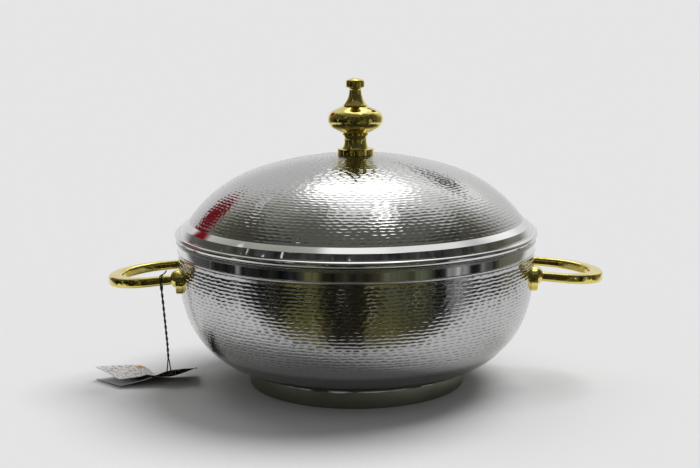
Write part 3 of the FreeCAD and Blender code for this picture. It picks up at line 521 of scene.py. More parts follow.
# %% Tones round the room near the floor and at the horizon
OLIVE = (0.17, 0.16, 0.065)
GLOOM = (0.27, 0.265, 0.225)
DARK = (0.024, 0.022, 0.014)
OLIVE_STRIP = (0.09, 0.085, 0.04)
near_floor = all_round(
    (-180, 0.72), (180, 0.72),
    (-120, 0.62), (-76, 0.50), (-62, 0.06),
    (-50, (0.10, 0.09, 0.04)), (-36, OLIVE), (-24, (0.11, 0.10, 0.045)),
    (-20, DARK), (3, DARK),
    (8, (0.16, 0.148, 0.06)), (32, (0.15, 0.137, 0.058)), (44, (0.08, 0.075, 0.04)),
    (56, 0.04), (66, 0.35), (80, 0.52),
)
horizon = all_round(
    (-180, 0.80), (180, 0.80),
    (-150, 0.74), (-134, 0.12), (-108, 0.06), (-100, 0.01),
    (-83, 0.02), (-81, 0.45), (-78, 0.02), (-60, 0.01),
    (-37, 0.015), (-33, OLIVE_STRIP), (-25, OLIVE_STRIP),
    (-22, DARK), (13, DARK),
    (19, (0.09, 0.095, 0.06)), (46, (0.07, 0.075, 0.045)), (50, 0.01),
    (56, 0.015), (59, 0.38), (72, 0.34), (75, 0.02),
    (82, 0.02), (84, 0.14), (92, 0.12), (95, 0.01),
    (104, (0.15, 0.14, 0.10)), (130, (0.20, 0.19, 0.15)), (146, 0.70),
)
print(f"olive {OLIVE}, dark {DARK}")

# %% Tones of the walls and the ceiling
room_wall = all_round(
    (-180, 0.72), (180, 0.72),
    (-172, 0.66), (-152, 0.72), (-132, GLOOM), (-122, (0.10, 0.10, 0.075)),
    (-60, 0.035), (60, 0.05),
    (110, (0.09, 0.09, 0.07)), (120, GLOOM), (132, 0.60), (148, 0.85), (170, 0.82),
)
ceiling = all_round(
    (-180, 0.80), (180, 0.80),
    (-155, 0.72), (-132, (0.38, 0.38, 0.34)), (-90, (0.14, 0.14, 0.12)),
    (90, (0.16, 0.16, 0.14)), (104, (0.19, 0.19, 0.165)),
    (116, 0.80), (130, 0.95), (158, 0.92),
)
seen = blend_colours(room, above(-18, -13), near_floor, horizon)
seen = blend_colours(room, above(5, 20), seen, room_wall)

# %% Things that stand about in the dark half, with a few small windows and lamps
in_front = spread_out(room, frontwards, -0.35, 0.15)
upright = add_node(room, "ShaderNodeMapping", {"Vector": way, "Scale": (9, 9, 3)}).outputs[0]
things = noise(room, upright, 1.0, 4.0)
tones = ramp(room, things, [(0.34, 0.25), (0.46, 0.75), (0.54, 1.0), (0.66, 1.6)])
cluttered = blend_colours(room, in_front, (1.0, 1.0, 1.0), tones)
seen = blend_colours(room, 1.0, seen, cluttered, "MULTIPLY")
small = add_node(room, "ShaderNodeMapping", {"Vector": way, "Scale": (17, 17, 11)}).outputs[0]
glints = noise(room, small, 1.0, 1.0)
shining = sums(room, "MULTIPLY", spread_out(room, glints, 0.70, 0.73), in_front)
seen = blend_colours(room, shining, seen, (0.85, 0.86, 0.80))
seen = blend_colours(room, above(46, 56), seen, ceiling)

# %% Lamps, a red cloth and two small dark things
PATCHES = [
    # azimuth, elevation, inner and outer size in degrees, colour
    (180, 83, 7, 13, (1.1, 1.1, 1.1)),
    (154, 36, 5, 17, (1.2, 1.2, 1.18)),
    (-142, 22, 8, 11, (0.19, 0.008, 0.014)),
    (177, 55, 7, 17, (3.0, 3.0, 3.0)),
    (104, 79, 3, 7, (3.0, 3.0, 3.0)),
    (-133, 47, 1.5, 3, (1.4, 1.4, 1.4)),
    (-50, 43, 2, 3.5, (1.4, 1.4, 1.4)),
    (163, 29, 3, 5, (0.02, 0.02, 0.02)),
    (156, 33, 2.5, 4.5, (0.02, 0.02, 0.02)),
]
for turn, rise, inner, outer, colour in PATCHES:
    cone = patch(room, way, heading(turn, rise), inner, outer)
    seen = blend_colours(room, cone, seen, colour)
print(f"{len(PATCHES)} patches, {len(room.nodes)} nodes in the room")

# %% Who sees the room: reflections only
PALE = (0.78, 0.78, 0.785)
AMBIENT = 0.25
paths = add_node(room, "ShaderNodeLightPath")
lit = blend_colours(room, paths.outputs["Is Glossy Ray"], (AMBIENT,) * 3, seen)
lit = blend_colours(room, paths.outputs["Is Camera Ray"], lit, PALE)
background = add_node(room, "ShaderNodeBackground", {"Color": lit})
add_node(room, "ShaderNodeOutputWorld", {"Surface": background.outputs[0]})
print(f"background {PALE}, light on the object {AMBIENT}")

# %% Two soft lights from above and behind
LIGHTS = [("main_light", 130, 62, 2.3), ("side_light", -150, 62, 0.4)]
LAMP_WIDTH = math.radians(36)
for name, turn, rise, energy in LIGHTS:
    lamp_data = bpy.data.lights.new(name, "SUN")
    lamp_data.energy = energy
    lamp_data.angle = LAMP_WIDTH
    lamp = put_in(name, lamp_data)
    lamp.rotation_euler = heading(turn, rise).to_track_quat("Z", "Y").to_euler()
    lamp.visible_glossy = False       # the metal shows the room, not the lamps
    print(name, "comes from", [round(v, 2) for v in heading(turn, rise)])

# %% Pale sheet under the casserole
SHEET_EDGE, EDGE_BLUR = -192, 15
SHEET_SIDE, SIDE_BLUR = 600, 80
FLOOR_REACH = 60              # metres, so that its far edge lies above the frame
floor_mesh = bpy.data.meshes.new("floor")
builder = bmesh.new()
bmesh.ops.create_grid(builder, x_segments=1, y_segments=1, size=FLOOR_REACH)
builder.to_mesh(floor_mesh)
builder.free()
put_in("floor", floor_mesh)

# %% Finish of the sheet, which reflections see only near the casserole
floor_finish = bpy.data.materials.new("pale_sheet")
floor_finish.use_nodes = True
tree = floor_finish.node_tree
tree.nodes.clear()
place = add_node(tree, "ShaderNodeTexCoord").outputs["Object"]
parts = add_node(tree, "ShaderNodeSeparateXYZ", {0: place})
past_edge = (SHEET_EDGE - EDGE_BLUR) * MM
edge = spread_out(tree, parts.outputs["Y"], past_edge, SHEET_EDGE * MM, 1.0, 0.0)
across = sums(tree, "ABSOLUTE", parts.outputs["X"])
side = spread_out(tree, across, (SHEET_SIDE - SIDE_BLUR) * MM, SHEET_SIDE * MM)
beyond = sums(tree, "MAXIMUM", edge, side)
paths = add_node(tree, "ShaderNodeLightPath")
hidden = sums(tree, "MULTIPLY", beyond, paths.outputs["Is Glossy Ray"])
sheet_light = add_node(tree, "ShaderNodeBsdfDiffuse", {"Color": (*PALE, 1)}).outputs[0]
open_room = add_node(tree, "ShaderNodeBsdfTransparent").outputs[0]
mix = add_node(tree, "ShaderNodeMixShader", {0: hidden, 1: sheet_light, 2: open_room})
add_node(tree, "ShaderNodeOutputMaterial", {"Surface": mix.outputs[0]})
floor_mesh.materials.append(floor_finish)
print(f"the sheet ends {-SHEET_EDGE} mm in front of the axis and {SHEET_SIDE} mm to each side")

# %% [markdown]
# ## Steel finishes
#
# All the steel here is stainless sheet, polished to different degrees. The shell is bright, with fine
# polishing lines that run round it. The liners are satin. The foot is plain rolled sheet with a mill
# finish, and its colour is darkened and tinted olive as painted shade, for the shaded floor it reflects.
# Metal has almost no colour variation of its own, so the finish lies in its roughness and in a
# very fine bump, both driven by noise that is stretched round the axis. The hammer strokes and the heel of
# the shell are painted darker too: the strokes partly as duller metal and partly as painted shade, the heel
# as painted shade.

# %% A metal finish
WEAR_AND_SHADE = 0.15, 0.75, 0.0, 0.95      # from the lightest to the hardest stroke, and the darkening they get: wear and painted shade
WORN_AND_SHADED_TONE, WORN_ROUGH = 0.2, 0.14


def metal(name, colour, roughness, spread, grain, dents=False, bump=0.02, blotch=0.05):
    """Polished metal: roughness varies by spread, and fine lines of scale grain run round the axis."""
    finish, tree, shader = new_finish(name)
    shader.inputs["Metallic"].default_value = 1.0
    place = add_node(tree, "ShaderNodeTexCoord").outputs["Object"]
    height = add_node(tree, "ShaderNodeSeparateXYZ", {0: place}).outputs["Z"]
    away = add_node(tree, "ShaderNodeVectorMath", {0: place}, operation="LENGTH").outputs["Value"]
    round_it = add_node(tree, "ShaderNodeCombineXYZ", {"X": away, "Y": height}).outputs[0]
    lines = noise(tree, round_it, grain, 3.0)
    clouds = noise(tree, place, 28.0, 4.0)
    smear = sums(tree, "ADD", sums(tree, "MULTIPLY", lines, 0.4), sums(tree, "MULTIPLY", clouds, 0.6))
    rough = spread_out(tree, smear, NOISE_LOW, NOISE_HIGH, roughness - spread, roughness + spread)
    dull = tuple(c * (1 - blotch) for c in colour)
    tone = ramp(tree, clouds, [(NOISE_LOW, dull), (NOISE_HIGH, colour)])
    # With dents, the struck attribute darkens the colour of the strokes and the heel: partly duller, worn
    # metal and partly painted shade. The shade stands in for the dark reflections of the strokes and of the
    # shaded floor under the heel.
    if dents:
        struck = add_node(tree, "ShaderNodeAttribute", attribute_name="struck").outputs["Fac"]
        worn_and_shaded = tuple(c * WORN_AND_SHADED_TONE for c in colour)
        tone = blend_colours(tree, spread_out(tree, struck, *WEAR_AND_SHADE), tone, worn_and_shaded)
        rough = sums(tree, "ADD", rough, sums(tree, "MULTIPLY", struck, WORN_ROUGH))
    dress(tree, shader, tone, rough, lines, bump, 0.0002)
    return finish


hammered_steel = metal("hammered_steel", (0.56, 0.56, 0.555), 0.10, 0.03, 900, dents=True)
polished_steel = metal("polished_steel", (0.76, 0.76, 0.755), 0.045, 0.015, 700)
liner_steel = metal("liner_steel", (0.60, 0.60, 0.60), 0.24, 0.04, 500, bump=0.08)
# The foot's dark olive colour is painted shade, for the shaded floor and dark room that it reflects; its
# roughness is the mill finish.
foot_steel = metal("foot_steel", (0.30, 0.30, 0.235), 0.34, 0.06, 300, bump=0.1, blotch=0.25)
fixing_steel = metal("fixing_steel", (0.55, 0.55, 0.55), 0.32, 0.05, 400)
for finish in (hammered_steel, polished_steel, liner_steel, foot_steel, fixing_steel):
    print(f"{finish.name}: {len(finish.node_tree.nodes)} nodes")

# %% [markdown]
# ## Brass, foam, plug and weld
#
# The handles and the finial are cast or turned brass, buffed to a mirror by hand. Buffing leaves the faces a
# little wavy, which bends the reflections, so the brass has a slow bump as well as fine wear. The foam and
# the plug are hidden in use, and are seen only when the casserole is opened up. The weld of the foot is
# ground by hand, matt and patchy: dark in some places and pale in others. The pale patches are a painted
# highlight for the light that the ground metal catches.

# %% Brass and the plain finishes
BRASS_TONES = [(0.3, (0.80, 0.65, 0.17)), (0.7, (0.86, 0.73, 0.23))]
brass = plain_finish("brass", 0.06, BRASS_TONES, 110, detail=2.0, bump=0.4, height=0.0009, metallic=1.0)
PRESSED_TONES = [(0.3, (0.55, 0.45, 0.22)), (0.7, (0.66, 0.56, 0.32))]
pressed_brass = plain_finish("pressed_brass", 0.25, PRESSED_TONES, 900, bump=0.2, metallic=1.0)
FOAM_TONES = [(0.3, (0.66, 0.57, 0.33)), (0.7, (0.86, 0.80, 0.58))]
foam = plain_finish("foam", 0.9, FOAM_TONES, 420, detail=8.0, bump=0.8, height=0.0006)
plug_plastic = plain_finish("plug_plastic", 0.5, [(0.3, 0.035), (0.7, 0.055)], 600, bump=0.15)
# Painted highlight: the weld is matt and not metallic, and its near-white patches stand for glints on the
# ground metal.
ground_weld_painted_glints = plain_finish("ground_weld_painted_glints", 0.5, [(0.42, 0.06), (0.56, 0.90)], 45, detail=2.0)
print("plain finishes:", brass.name, pressed_brass.name, foam.name, plug_plastic.name, ground_weld_painted_glints.name)

# %% Finishes of the pieces that stay as they were imported
CARRIED_OVER = {
    pressed_brass: ["tag_eyelet"],
    foam: ["bowl_foam", "lid_foam"],
    plug_plastic: ["foam_plug"],
    liner_steel: ["lid_liner"],
    fixing_steel: ["handle_screws", "handle_washers", "finial_stud", "finial_washer", "finial_nut"],
}
for finish, names in CARRIED_OVER.items():
    for name in names:
        for place in nodes[name].material_slots:
            place.material = finish
    print(f"{finish.name}: {', '.join(names)}")

# %% [markdown]
# ## Turned pieces
#
# Every sheet of the bowl and the lid was spun on a lathe, so each piece is one outline turned about the
# upright axis. An outline is a closed list of radius and height. `arc` adds the curves, and edges that stay
# sharp after the turn are marked so that the light breaks on them.

# %% Outlines and the lathe
SHARP = math.radians(28)


def arc(centre, radius, start, end, steps):
    """Points on an arc about (radius, height), from one angle to another in degrees."""
    angles = [math.radians(start + (end - start) * i / steps) for i in range(steps + 1)]
    return [(centre[0] + radius * math.cos(a), centre[1] + radius * math.sin(a)) for a in angles]


def spin_round(turned, points, closed, centre, axis, columns):
    """Joins a row of vertices by edges, turns it full circle and closes the seam."""
    following = points[1:] + points[:1] if closed else points[1:]
    edges = [turned.edges.new(pair) for pair in zip(points, following)]
    bmesh.ops.spin(
        turned, geom=points + edges, cent=centre, axis=axis, dvec=(0, 0, 0),
        angle=2 * math.pi, steps=columns, use_merge=True,
    )
    bmesh.ops.remove_doubles(turned, verts=turned.verts, dist=1e-7)


def spin_outline(outline, columns, closed=True):
    """A bmesh of the outline turned full circle, with each outline point's number on its vertices."""
    turned = bmesh.new()
    mark = turned.verts.layers.int.new("outline")
    points = []
    for i, (radius, height) in enumerate(outline):
        vertex = turned.verts.new((radius * MM, 0, height * MM))
        vertex[mark] = i
        points.append(vertex)
    spin_round(turned, points, closed, (0, 0, 0), (0, 0, 1), columns)
    bmesh.ops.recalc_face_normals(turned, faces=turned.faces)
    return turned


def finish_mesh(name, turned, sharp=SHARP):
    """Turns a bmesh into a smooth mesh that keeps edges over the given angle sharp."""
    for face in turned.faces:
        face.smooth = True
    for crease in turned.edges:
        if crease.is_manifold and crease.calc_face_angle() > sharp:
            crease.smooth = False
    mesh = bpy.data.meshes.new(name)
    turned.to_mesh(mesh)
    turned.free()
    return mesh


# %% [markdown]
# ## Hammer strokes
#
# The shell is struck with a narrow peen in level rows: short strokes, four to six millimetres long, with
# small gaps, no two rows in step. They could be painted on with a bump map, but a reflection that breaks up
# in each stroke is what makes the metal look hammered, so here the strokes are pressed into the mesh. Each
# row has three rings of vertices, and the middle ring is pushed in.

# %% Strokes
ROW = 2.8
GROOVE = 0.6
DEPTH = 0.26
CRISP = math.radians(13)      # a groove steeper than this keeps its crease
WANDER = (((26, 60), 0.2), ((9, 17), 0.2))    # shortest and longest wave of a row, and its rise
FIRST_START = 0, 7
LENGTHS, GAPS = (4.0, 6.3), (0.9, 2.3)
FORCES, LIFTS, TILTS = (0.6, 1.0), (-0.2, 0.2), (-0.06, 0.06)
END_PRESS, END_RUN, PAST_END = 0.35, 0.9, 0.45    # press at an end, run to full press, reach past it
FADE_ROWS = 4                 # rows over which the strokes fade towards the heel, which carries painted shade
dice = random.Random(11)


def strokes(around):
    """Strokes of one row: where each starts, its length, its force, and how high and tilted it lies."""
    found, place = [], dice.uniform(*FIRST_START)
    while place < around:
        length = dice.uniform(*LENGTHS)
        found.append((place, length, *(dice.uniform(*span) for span in (FORCES, LIFTS, TILTS))))
        place += length + dice.uniform(*GAPS)
    return found


def row_pattern(around, columns):
    """Press and height at each column of a row. A row struck by hand wanders up and down."""
    waves = [(dice.uniform(0, 6.3), round(around / dice.uniform(*size)), rise) for size, rise in WANDER]
    pattern = []
    for column in range(columns):
        turn = 2 * math.pi * column / columns
        pattern.append((0.0, sum(rise * math.sin(late + count * turn) for late, count, rise in waves)))
    for start, length, force, lift, tilt in strokes(around):
        first, last = start / around * columns, (start + length) / around * columns
        for column in range(math.floor(first), math.ceil(last) + 1):
            run = (column / columns) * around - start
            end = min(run, length - run)
            press = max(0.0, min(1.0, END_PRESS + end / END_RUN))
            if end > -PAST_END:
                wander = pattern[column % columns][1]
                pattern[column % columns] = (press * force, wander + lift + tilt * (run - length / 2))
    return pattern


def resample(curve, places):
    """Points and directions at the given lengths along a curve of closely spaced points."""
    lengths = [0.0]
    for a, b in zip(curve, curve[1:]):
        lengths.append(lengths[-1] + math.dist(a, b))
    found, i = [], 0
    for place in places:
        while i < len(curve) - 2 and lengths[i + 1] < place:
            i += 1
        share = (place - lengths[i]) / (lengths[i + 1] - lengths[i])
        point = tuple(a + (b - a) * share for a, b in zip(curve[i], curve[i + 1]))
        run = (curve[i + 1][0] - curve[i][0], curve[i + 1][1] - curve[i][1])
        size = math.hypot(*run)
        found.append((point, (run[0] / size, run[1] / size)))
    return found


# %% A hammered sheet


def hammered(name, before, curve, after, columns, first_row, last_row, outward, dulled_and_shaded, heel=0.0):
    """A turned sheet whose curve is struck in rows; before and after are the rest of its outline.

    The rows start first_row from the start of the curve and stop last_row before its end. dulled_and_shaded
    says how far the strokes are darkened and roughened, partly as duller metal and partly as painted shade;
    heel darkens and roughens the sheet before the first row, and its darkening is painted shade."""
    total = sum(math.dist(a, b) for a, b in zip(curve, curve[1:]))
    rows = int((total - first_row - last_row) / ROW)
    places = [0.0]
    for i in range(rows):
        centre = first_row + (i + 0.5) * (total - first_row - last_row) / rows
        places += [centre - GROOVE, centre, centre + GROOVE]
    places.append(total)
    rings = resample(curve, places)
    outline = before + [point for point, _ in rings] + after
    turned = spin_outline(outline, columns)
    mark = turned.verts.layers.int["outline"]
    struck = turned.verts.layers.float.new("struck")
    patterns = [row_pattern(2 * math.pi * rings[2 + 3 * i][0][0], columns) for i in range(rows)]
    for vertex in turned.verts:
        ring = vertex[mark] - len(before)
        # Before the rows, the struck value carries the heel's painted shade; after them it is 0.
        if not 1 <= ring <= 3 * rows:
            vertex[struck] = heel if ring < 1 else 0.0
            continue
        row, part = divmod(ring - 1, 3)
        angle = math.atan2(vertex.co.y, vertex.co.x) % (2 * math.pi)
        press, lift = patterns[row][round(angle / (2 * math.pi) * columns) % columns]
        _, (run_r, run_z) = rings[ring]
        out_r, out_z = run_z * outward, -run_r * outward
        fade = min(1.0, (row + 1) / FADE_ROWS) if heel else 1.0
        push = -DEPTH * press * fade if part == 1 else 0.0
        slide = lift * (1.0 if part == 1 else 0.8)
        away, up = out_r * push + run_r * slide, out_z * push + run_z * slide
        vertex.co += Vector((math.cos(angle) * away, math.sin(angle) * away, up)) * MM
        # The middle ring of a stroke is darkened: duller metal and painted shade.
        vertex[struck] = press * fade * dulled_and_shaded if part == 1 else 0.0
    print(f"{name}: {rows} rows of strokes")
    return finish_mesh(name, turned, CRISP)


# %% [markdown]
# ## Bowl
#
# The outer sheet is drawn in one: a flat floor, a tight curve at the heel, a gentler one up the belly, and
# an upright wall that steps in behind the polished band. Only what shows is hammered. The strokes fade out
# towards the foot, and the heel above it is smooth and less bright than the wall, with shade painted into
# its colour for the shaded floor that it reflects.

# %% Hammered bowl
GAUGE = 0.8
HEEL_CENTRE, HEEL_ARC = (74.12, 83.81), 71.31
BELLY_CENTRE, BELLY_ARC = (22.2, 98.6), 125.3
BELLY_TURN = 15.9
BOWL_RADIUS, BOWL_HEIGHT = 147.5, 112.4
HAMMER_FROM = 46
BOWL_SIDES = 640

low_curve = arc(HEEL_CENTRE, HEEL_ARC, -90, -HAMMER_FROM, 12)
wall_curve = arc(HEEL_CENTRE, HEEL_ARC, -HAMMER_FROM, -BELLY_TURN, 400)
wall_curve += arc(BELLY_CENTRE, BELLY_ARC, -BELLY_TURN, 0, 200)[1:]
wall_curve += [(BOWL_RADIUS, BOWL_HEIGHT)]
inside_curve = arc(BELLY_CENTRE, BELLY_ARC - GAUGE, 0, -BELLY_TURN, 3)
inside_curve += arc(HEEL_CENTRE, HEEL_ARC - GAUGE, -BELLY_TURN, -90, 8)[1:]
step_up = [(146.7, 113.4), (146.7, 123.6), (145.9, 123.6), (145.9, 113.4), (146.7, 112.4)]
bowl_mesh = hammered(
    "hammered_bowl", [(6.0, 13.3), (6.0, 12.5)] + low_curve[:-1], wall_curve, step_up + inside_curve,
    BOWL_SIDES, first_row=7.0, last_row=1.6, outward=1, dulled_and_shaded=1.0, heel=0.5,
)
place_piece(bowl_mesh, "bowl", hammered_steel, "outer_bowl")

# %% [markdown]
# ## Polished band, liner and foot
#
# The band under the lid is a strip of mirror-bright steel with a thin bead rolled along its lower edge. The
# liner's edge is rolled over its top. The foot is a plain hoop, hemmed where it stands and welded under
# the belly.

# %% Band with its bead
ROUND_SIDES = 360
BAND_BACK, BAND_FRONT, BAND_TOP = 146.8, 147.5, 123.6
band_outline = [(BAND_BACK, 113.4)] + arc((BAND_FRONT, 114.1), 0.7, -90, 90, 10)
band_outline += [(BAND_FRONT, BAND_TOP), (BAND_BACK, BAND_TOP)]
band_mesh = finish_mesh("rim_band", spin_outline(band_outline, ROUND_SIDES))
place_piece(band_mesh, "bowl", polished_steel, "rim_collar")

# %% Liner with its rolled rim
LINER_GAUGE = 0.6
MOUTH_ROLL, MOUTH_ARC = (136.9, 121.3), 2.4
LIP_ROLL, LIP_ARC = (147.4, 123.0), 0.7
HEEL_INSIDE, BELLY_INSIDE = HEEL_ARC - 13.0, BELLY_ARC - 13.0
liner_outline = [(0, 25.5)] + arc(HEEL_CENTRE, HEEL_INSIDE, -90, -BELLY_TURN, 24)
liner_outline += arc(BELLY_CENTRE, BELLY_INSIDE, -BELLY_TURN, 0, 10)[1:]
liner_outline += arc(MOUTH_ROLL, MOUTH_ARC, 180, 90, 8) + arc(LIP_ROLL, LIP_ARC, 90, 0, 6)
liner_outline += [(148.1, 121.5), (148.7, 121.5)] + arc(LIP_ROLL, LIP_ARC + LINER_GAUGE, 0, 90, 8)
liner_outline += arc(MOUTH_ROLL, MOUTH_ARC + LINER_GAUGE, 90, 180, 10)
liner_outline += arc(BELLY_CENTRE, BELLY_INSIDE - LINER_GAUGE, 0, -BELLY_TURN, 10)
liner_outline += arc(HEEL_CENTRE, HEEL_INSIDE - LINER_GAUGE, -BELLY_TURN, -90, 24)[1:]
liner_outline += [(0, 25.5 + LINER_GAUGE)]
liner_mesh = finish_mesh("bowl_liner", spin_outline(liner_outline, ROUND_SIDES, closed=False))
place_piece(liner_mesh, "bowl", liner_steel, "inner_liner")

# %% Foot ring
HEM, HEM_FROM = (88.8, 1.4), 86.2
foot_outline = [(HEM_FROM, 0)] + arc(HEM, 1.4, -90, 0, 8) + [(90.2, 14.24), (89.2, 14.0)]
foot_outline += arc(HEM, 0.4, 0, -90, 4) + [(HEM_FROM, 1.0)]
foot_mesh = finish_mesh("foot_hoop", spin_outline(foot_outline, ROUND_SIDES))
place_piece(foot_mesh, "bowl", foot_steel, "foot_ring")

# %% Weld between the foot and the belly
SEAM_CENTRE, SEAM_THIN, SEAM_THICK = (90.7, 14.0), 0.4, 1.1
SEAM_SIDES, BEADS = 720, 150
seam = spin_outline(arc(SEAM_CENTRE, SEAM_THIN, 0, 324, 9), SEAM_SIDES)
beads = [dice.uniform(0, 1) ** 3 for _ in range(BEADS)]
for vertex in seam.verts:
    around_it = (math.atan2(vertex.co.y, vertex.co.x) / (2 * math.pi)) % 1 * BEADS
    first = int(around_it) % BEADS
    step = beads[(first + 1) % BEADS] - beads[first]
    swell = beads[first] + step * (around_it - int(around_it))
    outward = Vector((vertex.co.x, vertex.co.y, 0)).normalized()
    middle = outward * SEAM_CENTRE[0] * MM + Vector((0, 0, SEAM_CENTRE[1] * MM))
    vertex.co = middle + (vertex.co - middle) * (1 + swell * (SEAM_THICK / SEAM_THIN - 1))
seam_mesh = finish_mesh("weld_seam", seam)
place_piece(seam_mesh, "bowl", ground_weld_painted_glints, "foot_ring")

# %% [markdown]
# ## Lid
#
# The lid's sheet is a low dome, hammered like the bowl, with a smooth shoulder, an upright band and a bead
# rolled round its edge. The dome has so many strokes that the smooth brim is a piece of its own; the two
# meet at the crease below the dome.

# %% Hammered dome
CROWN_CENTRE, CROWN_ARC, CROWN_TURN = (0, -79.92), 271.0, 17.8
SIDE_CENTRE, SIDE_ARC, DOME_TURN = (49.41, 73.961), 109.38, 53.9
BORE_TURN, STRUCK_FROM = 0.65, 3.3    # degrees from the top; the first strokes start under the finial
DOME_SIDES = 600

dome_curve = arc(CROWN_CENTRE, CROWN_ARC, 90 - STRUCK_FROM, 90 - CROWN_TURN, 400)
dome_curve += arc(SIDE_CENTRE, SIDE_ARC, 90 - CROWN_TURN, 90 - DOME_TURN, 400)[1:]
dome_inside = arc(SIDE_CENTRE, SIDE_ARC - GAUGE, 90 - DOME_TURN, 90 - CROWN_TURN, 5)
dome_inside += arc(CROWN_CENTRE, CROWN_ARC - GAUGE, 90 - CROWN_TURN, 90 - BORE_TURN, 5)[1:]
dome_mesh = hammered(
    "hammered_dome", [(3.1, 191.06)], dome_curve, dome_inside,
    DOME_SIDES, first_row=0.6, last_row=1.2, outward=-1, dulled_and_shaded=0.35,
)
place_piece(dome_mesh, "lid", hammered_steel, "lid_shell")

# %% Smooth brim
BEAD_CENTRE, BEAD = (147.5, 127.1), 2.5
BRIM_SIDES = 480
brim_outline = [(137.785, 138.407)] + arc((142.6, 134.3), 0.7, 60, 20, 4)
brim_outline += arc(BEAD_CENTRE, BEAD, 140, -150, 28) + arc(BEAD_CENTRE, BEAD - GAUGE, -150, 140, 20)
brim_outline += [(142.4, 134.3), (137.3, 137.75)]
brim_mesh = finish_mesh("lid_brim", spin_outline(brim_outline, BRIM_SIDES))
place_piece(brim_mesh, "lid", polished_steel, "lid_shell")

# %% [markdown]
# ## Finial
#
# The finial is three turned pieces on one stud: a disc with a waisted stem, a flattened bulb, and a flared
# neck with a knob. Each is one outline turned about the same axis as the lid. The curves between two points
# are given by their radius, as a turner's drawing gives them.

# %% Curves by radius


def bend(start, end, radius, turn, steps=12):
    """Points after start, up to end, on an arc of the radius that turns left (1) or right (-1)."""
    start, end = Vector(start), Vector(end)
    chord = end - start
    left = Vector((-chord.y, chord.x)).normalized()
    centre = (start + end) / 2 + left * turn * math.sqrt(max(radius**2 - (chord.length / 2) ** 2, 0))
    first = math.atan2(*(start - centre).yx)
    sweep = (math.atan2(*(end - centre).yx) - first) * turn % (2 * math.pi) * turn
    angles = [first + sweep * (i + 1) / steps for i in range(steps)]
    return [(centre.x + radius * math.cos(a), centre.y + radius * math.sin(a)) for a in angles]


def traced(*corners):
    """Outline through corners; one with a radius and a turn after its place is reached by a bend."""
    outline = []
    for across, up, *curve in corners:
        if curve:
            outline += bend(outline[-1], (across, up), *curve)[:-1]
        outline.append((across, up))
    return outline


# %% Outlines of the finial
STUD_BORE = 3.1
BASE_TOP = 195.565
STEM_TOP = 208.38
BULB_TOP = 230.48
CAP_TOP = 253.07
BULB_RADIUS, BULB_MIDDLE = 22.6, STEM_TOP + 11.05
ROUNDING, ROUNDED = 8.3, math.radians(62)     # radius of the bulb's edge, and half its turn
FLANK = BULB_RADIUS - ROUNDING * (1 - math.cos(ROUNDED))
FLANK_UP = ROUNDING * math.sin(ROUNDED)

base_outline = traced(
    (STUD_BORE, 191.16), (15, 190.765), (15, BASE_TOP - 0.5), (14.9, BASE_TOP - 0.15),
    (14.5, BASE_TOP), (11.2, BASE_TOP), (9.1, 201.98, 10.9, -1), (10.0, 206.68, 17.3, -1),
    (10.5, 206.8), (10.5, STEM_TOP), (STUD_BORE, STEM_TOP),
)
bulb_outline = traced(
    (STUD_BORE, STEM_TOP), (10.5, STEM_TOP), (FLANK, BULB_MIDDLE - FLANK_UP, 55, 1),
    (FLANK, BULB_MIDDLE + FLANK_UP, ROUNDING, 1, 30), (9.2, BULB_TOP, 55, 1), (STUD_BORE, BULB_TOP),
)
cap_outline = traced(
    (3.0, BULB_TOP), (9.5, BULB_TOP), (9.8, BULB_TOP + 0.3), (9.8, BULB_TOP + 0.8),
    (9.6, BULB_TOP + 1), (4.95, BULB_TOP + 11.4, 17, -1, 16), (5.6, BULB_TOP + 14.7, 3.4, -1, 8),
    (6.5, BULB_TOP + 14.7), (7.6, BULB_TOP + 15.8, 1.1, 1, 5), (7.6, CAP_TOP - 3.3),
    (5.4, CAP_TOP - 1.1, 2.2, 1, 8), (0, CAP_TOP, 13.8, 1, 8),
    (0, BULB_TOP + 11.4), (3.0, BULB_TOP + 11.4),
)

# %% Finial pieces
FINIAL_SIDES = 144
for name, drawn, node in (
    ("stem_base", base_outline, "finial_base"),
    ("onion_bulb", bulb_outline, "finial_bulb"),
    ("neck_and_knob", cap_outline, "finial_cap"),
):
    turned_mesh = finish_mesh(name, spin_outline(drawn, FINIAL_SIDES))
    place_piece(turned_mesh, "lid", brass, node)

# %% [markdown]
# ## Loop handles
#
# Each handle is one brass casting: a flat-topped loop whose arms end in a domed collar and a disc on the
# wall of the bowl. The loop's own mesh is good enough to keep, so a copy of it is merged and smoothed. The
# collars and discs are round and close to the eye, so they are turned again with finer steps, a hair larger
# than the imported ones, and joined to the loop.

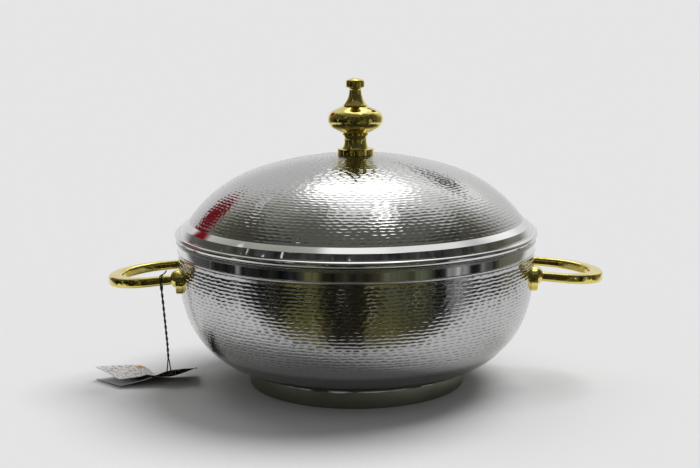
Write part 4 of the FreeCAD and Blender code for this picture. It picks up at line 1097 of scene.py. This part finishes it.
# %% Collars and discs
FOOT_SIDES = 72
HAIR = 0.03
DISC_BACK, DISC_FACE = 141.6, ARM_FACE + 2.8
DISC_DROP, DISC_RIM = 2.5, 10.0
COLLAR_BACK, COLLAR_FACE, COLLAR_RIM = 142.5, DISC_FACE + 4.5, 7.4
collar_outline = traced(
    (COLLAR_BACK, 0), (COLLAR_FACE + HAIR, 0), (COLLAR_FACE + HAIR, 3.6),
    (DISC_FACE, COLLAR_RIM + HAIR, 6.2, 1, 14), (COLLAR_BACK, COLLAR_RIM + HAIR),
)
disc_outline = traced(
    (DISC_BACK, 0), (DISC_FACE + HAIR, 0), (DISC_FACE + HAIR, DISC_RIM - 0.5),
    (DISC_FACE - 0.5, DISC_RIM + HAIR, 0.53, 1, 5), (DISC_BACK, DISC_RIM + HAIR),
)
print(f"disc {2 * DISC_RIM} mm and collar {2 * COLLAR_RIM} mm across")


def turn_on_arm(drawn, height, side, facing):
    """A bmesh of an outline, of distance and radius, turned about the axis of one arm."""
    turned = bmesh.new()
    middle = Vector((0, side * ARM_SIDE, height)) * MM
    points = [turned.verts.new(Vector((out, 0, up)) * MM + middle) for out, up in drawn]
    spin_round(turned, points, True, middle, (1, 0, 0), FOOT_SIDES)
    towards_arm = Matrix.Rotation(facing, 3, "Z")
    bmesh.ops.rotate(turned, verts=turned.verts, cent=(0, 0, 0), matrix=towards_arm)
    bmesh.ops.recalc_face_normals(turned, faces=turned.faces)
    return finish_mesh("turned", turned)


# %% Loops
LOOP_SHARP = math.radians(38)
LOOPS = [("right_loop", "right_handle", 0.0), ("left_loop", "left_handle", math.pi)]
for name, node, facing in LOOPS:
    loop = bmesh.new()
    loop.from_mesh(nodes[node].data)
    bmesh.ops.remove_doubles(loop, verts=loop.verts, dist=1e-6)
    packed = len(loop.faces)
    loop_mesh = finish_mesh(name, loop, LOOP_SHARP)
    joined = bmesh.new()
    joined.from_mesh(loop_mesh)
    for side in (1, -1):
        joined.from_mesh(turn_on_arm(disc_outline, ARM_HEIGHT - DISC_DROP, side, facing))
        joined.from_mesh(turn_on_arm(collar_outline, ARM_HEIGHT, side, facing))
    print(f"{name}: {packed} packed faces, {len(joined.faces)} with the turned feet")
    joined.to_mesh(loop_mesh)
    joined.free()
    place_piece(loop_mesh, "bowl", brass, node)
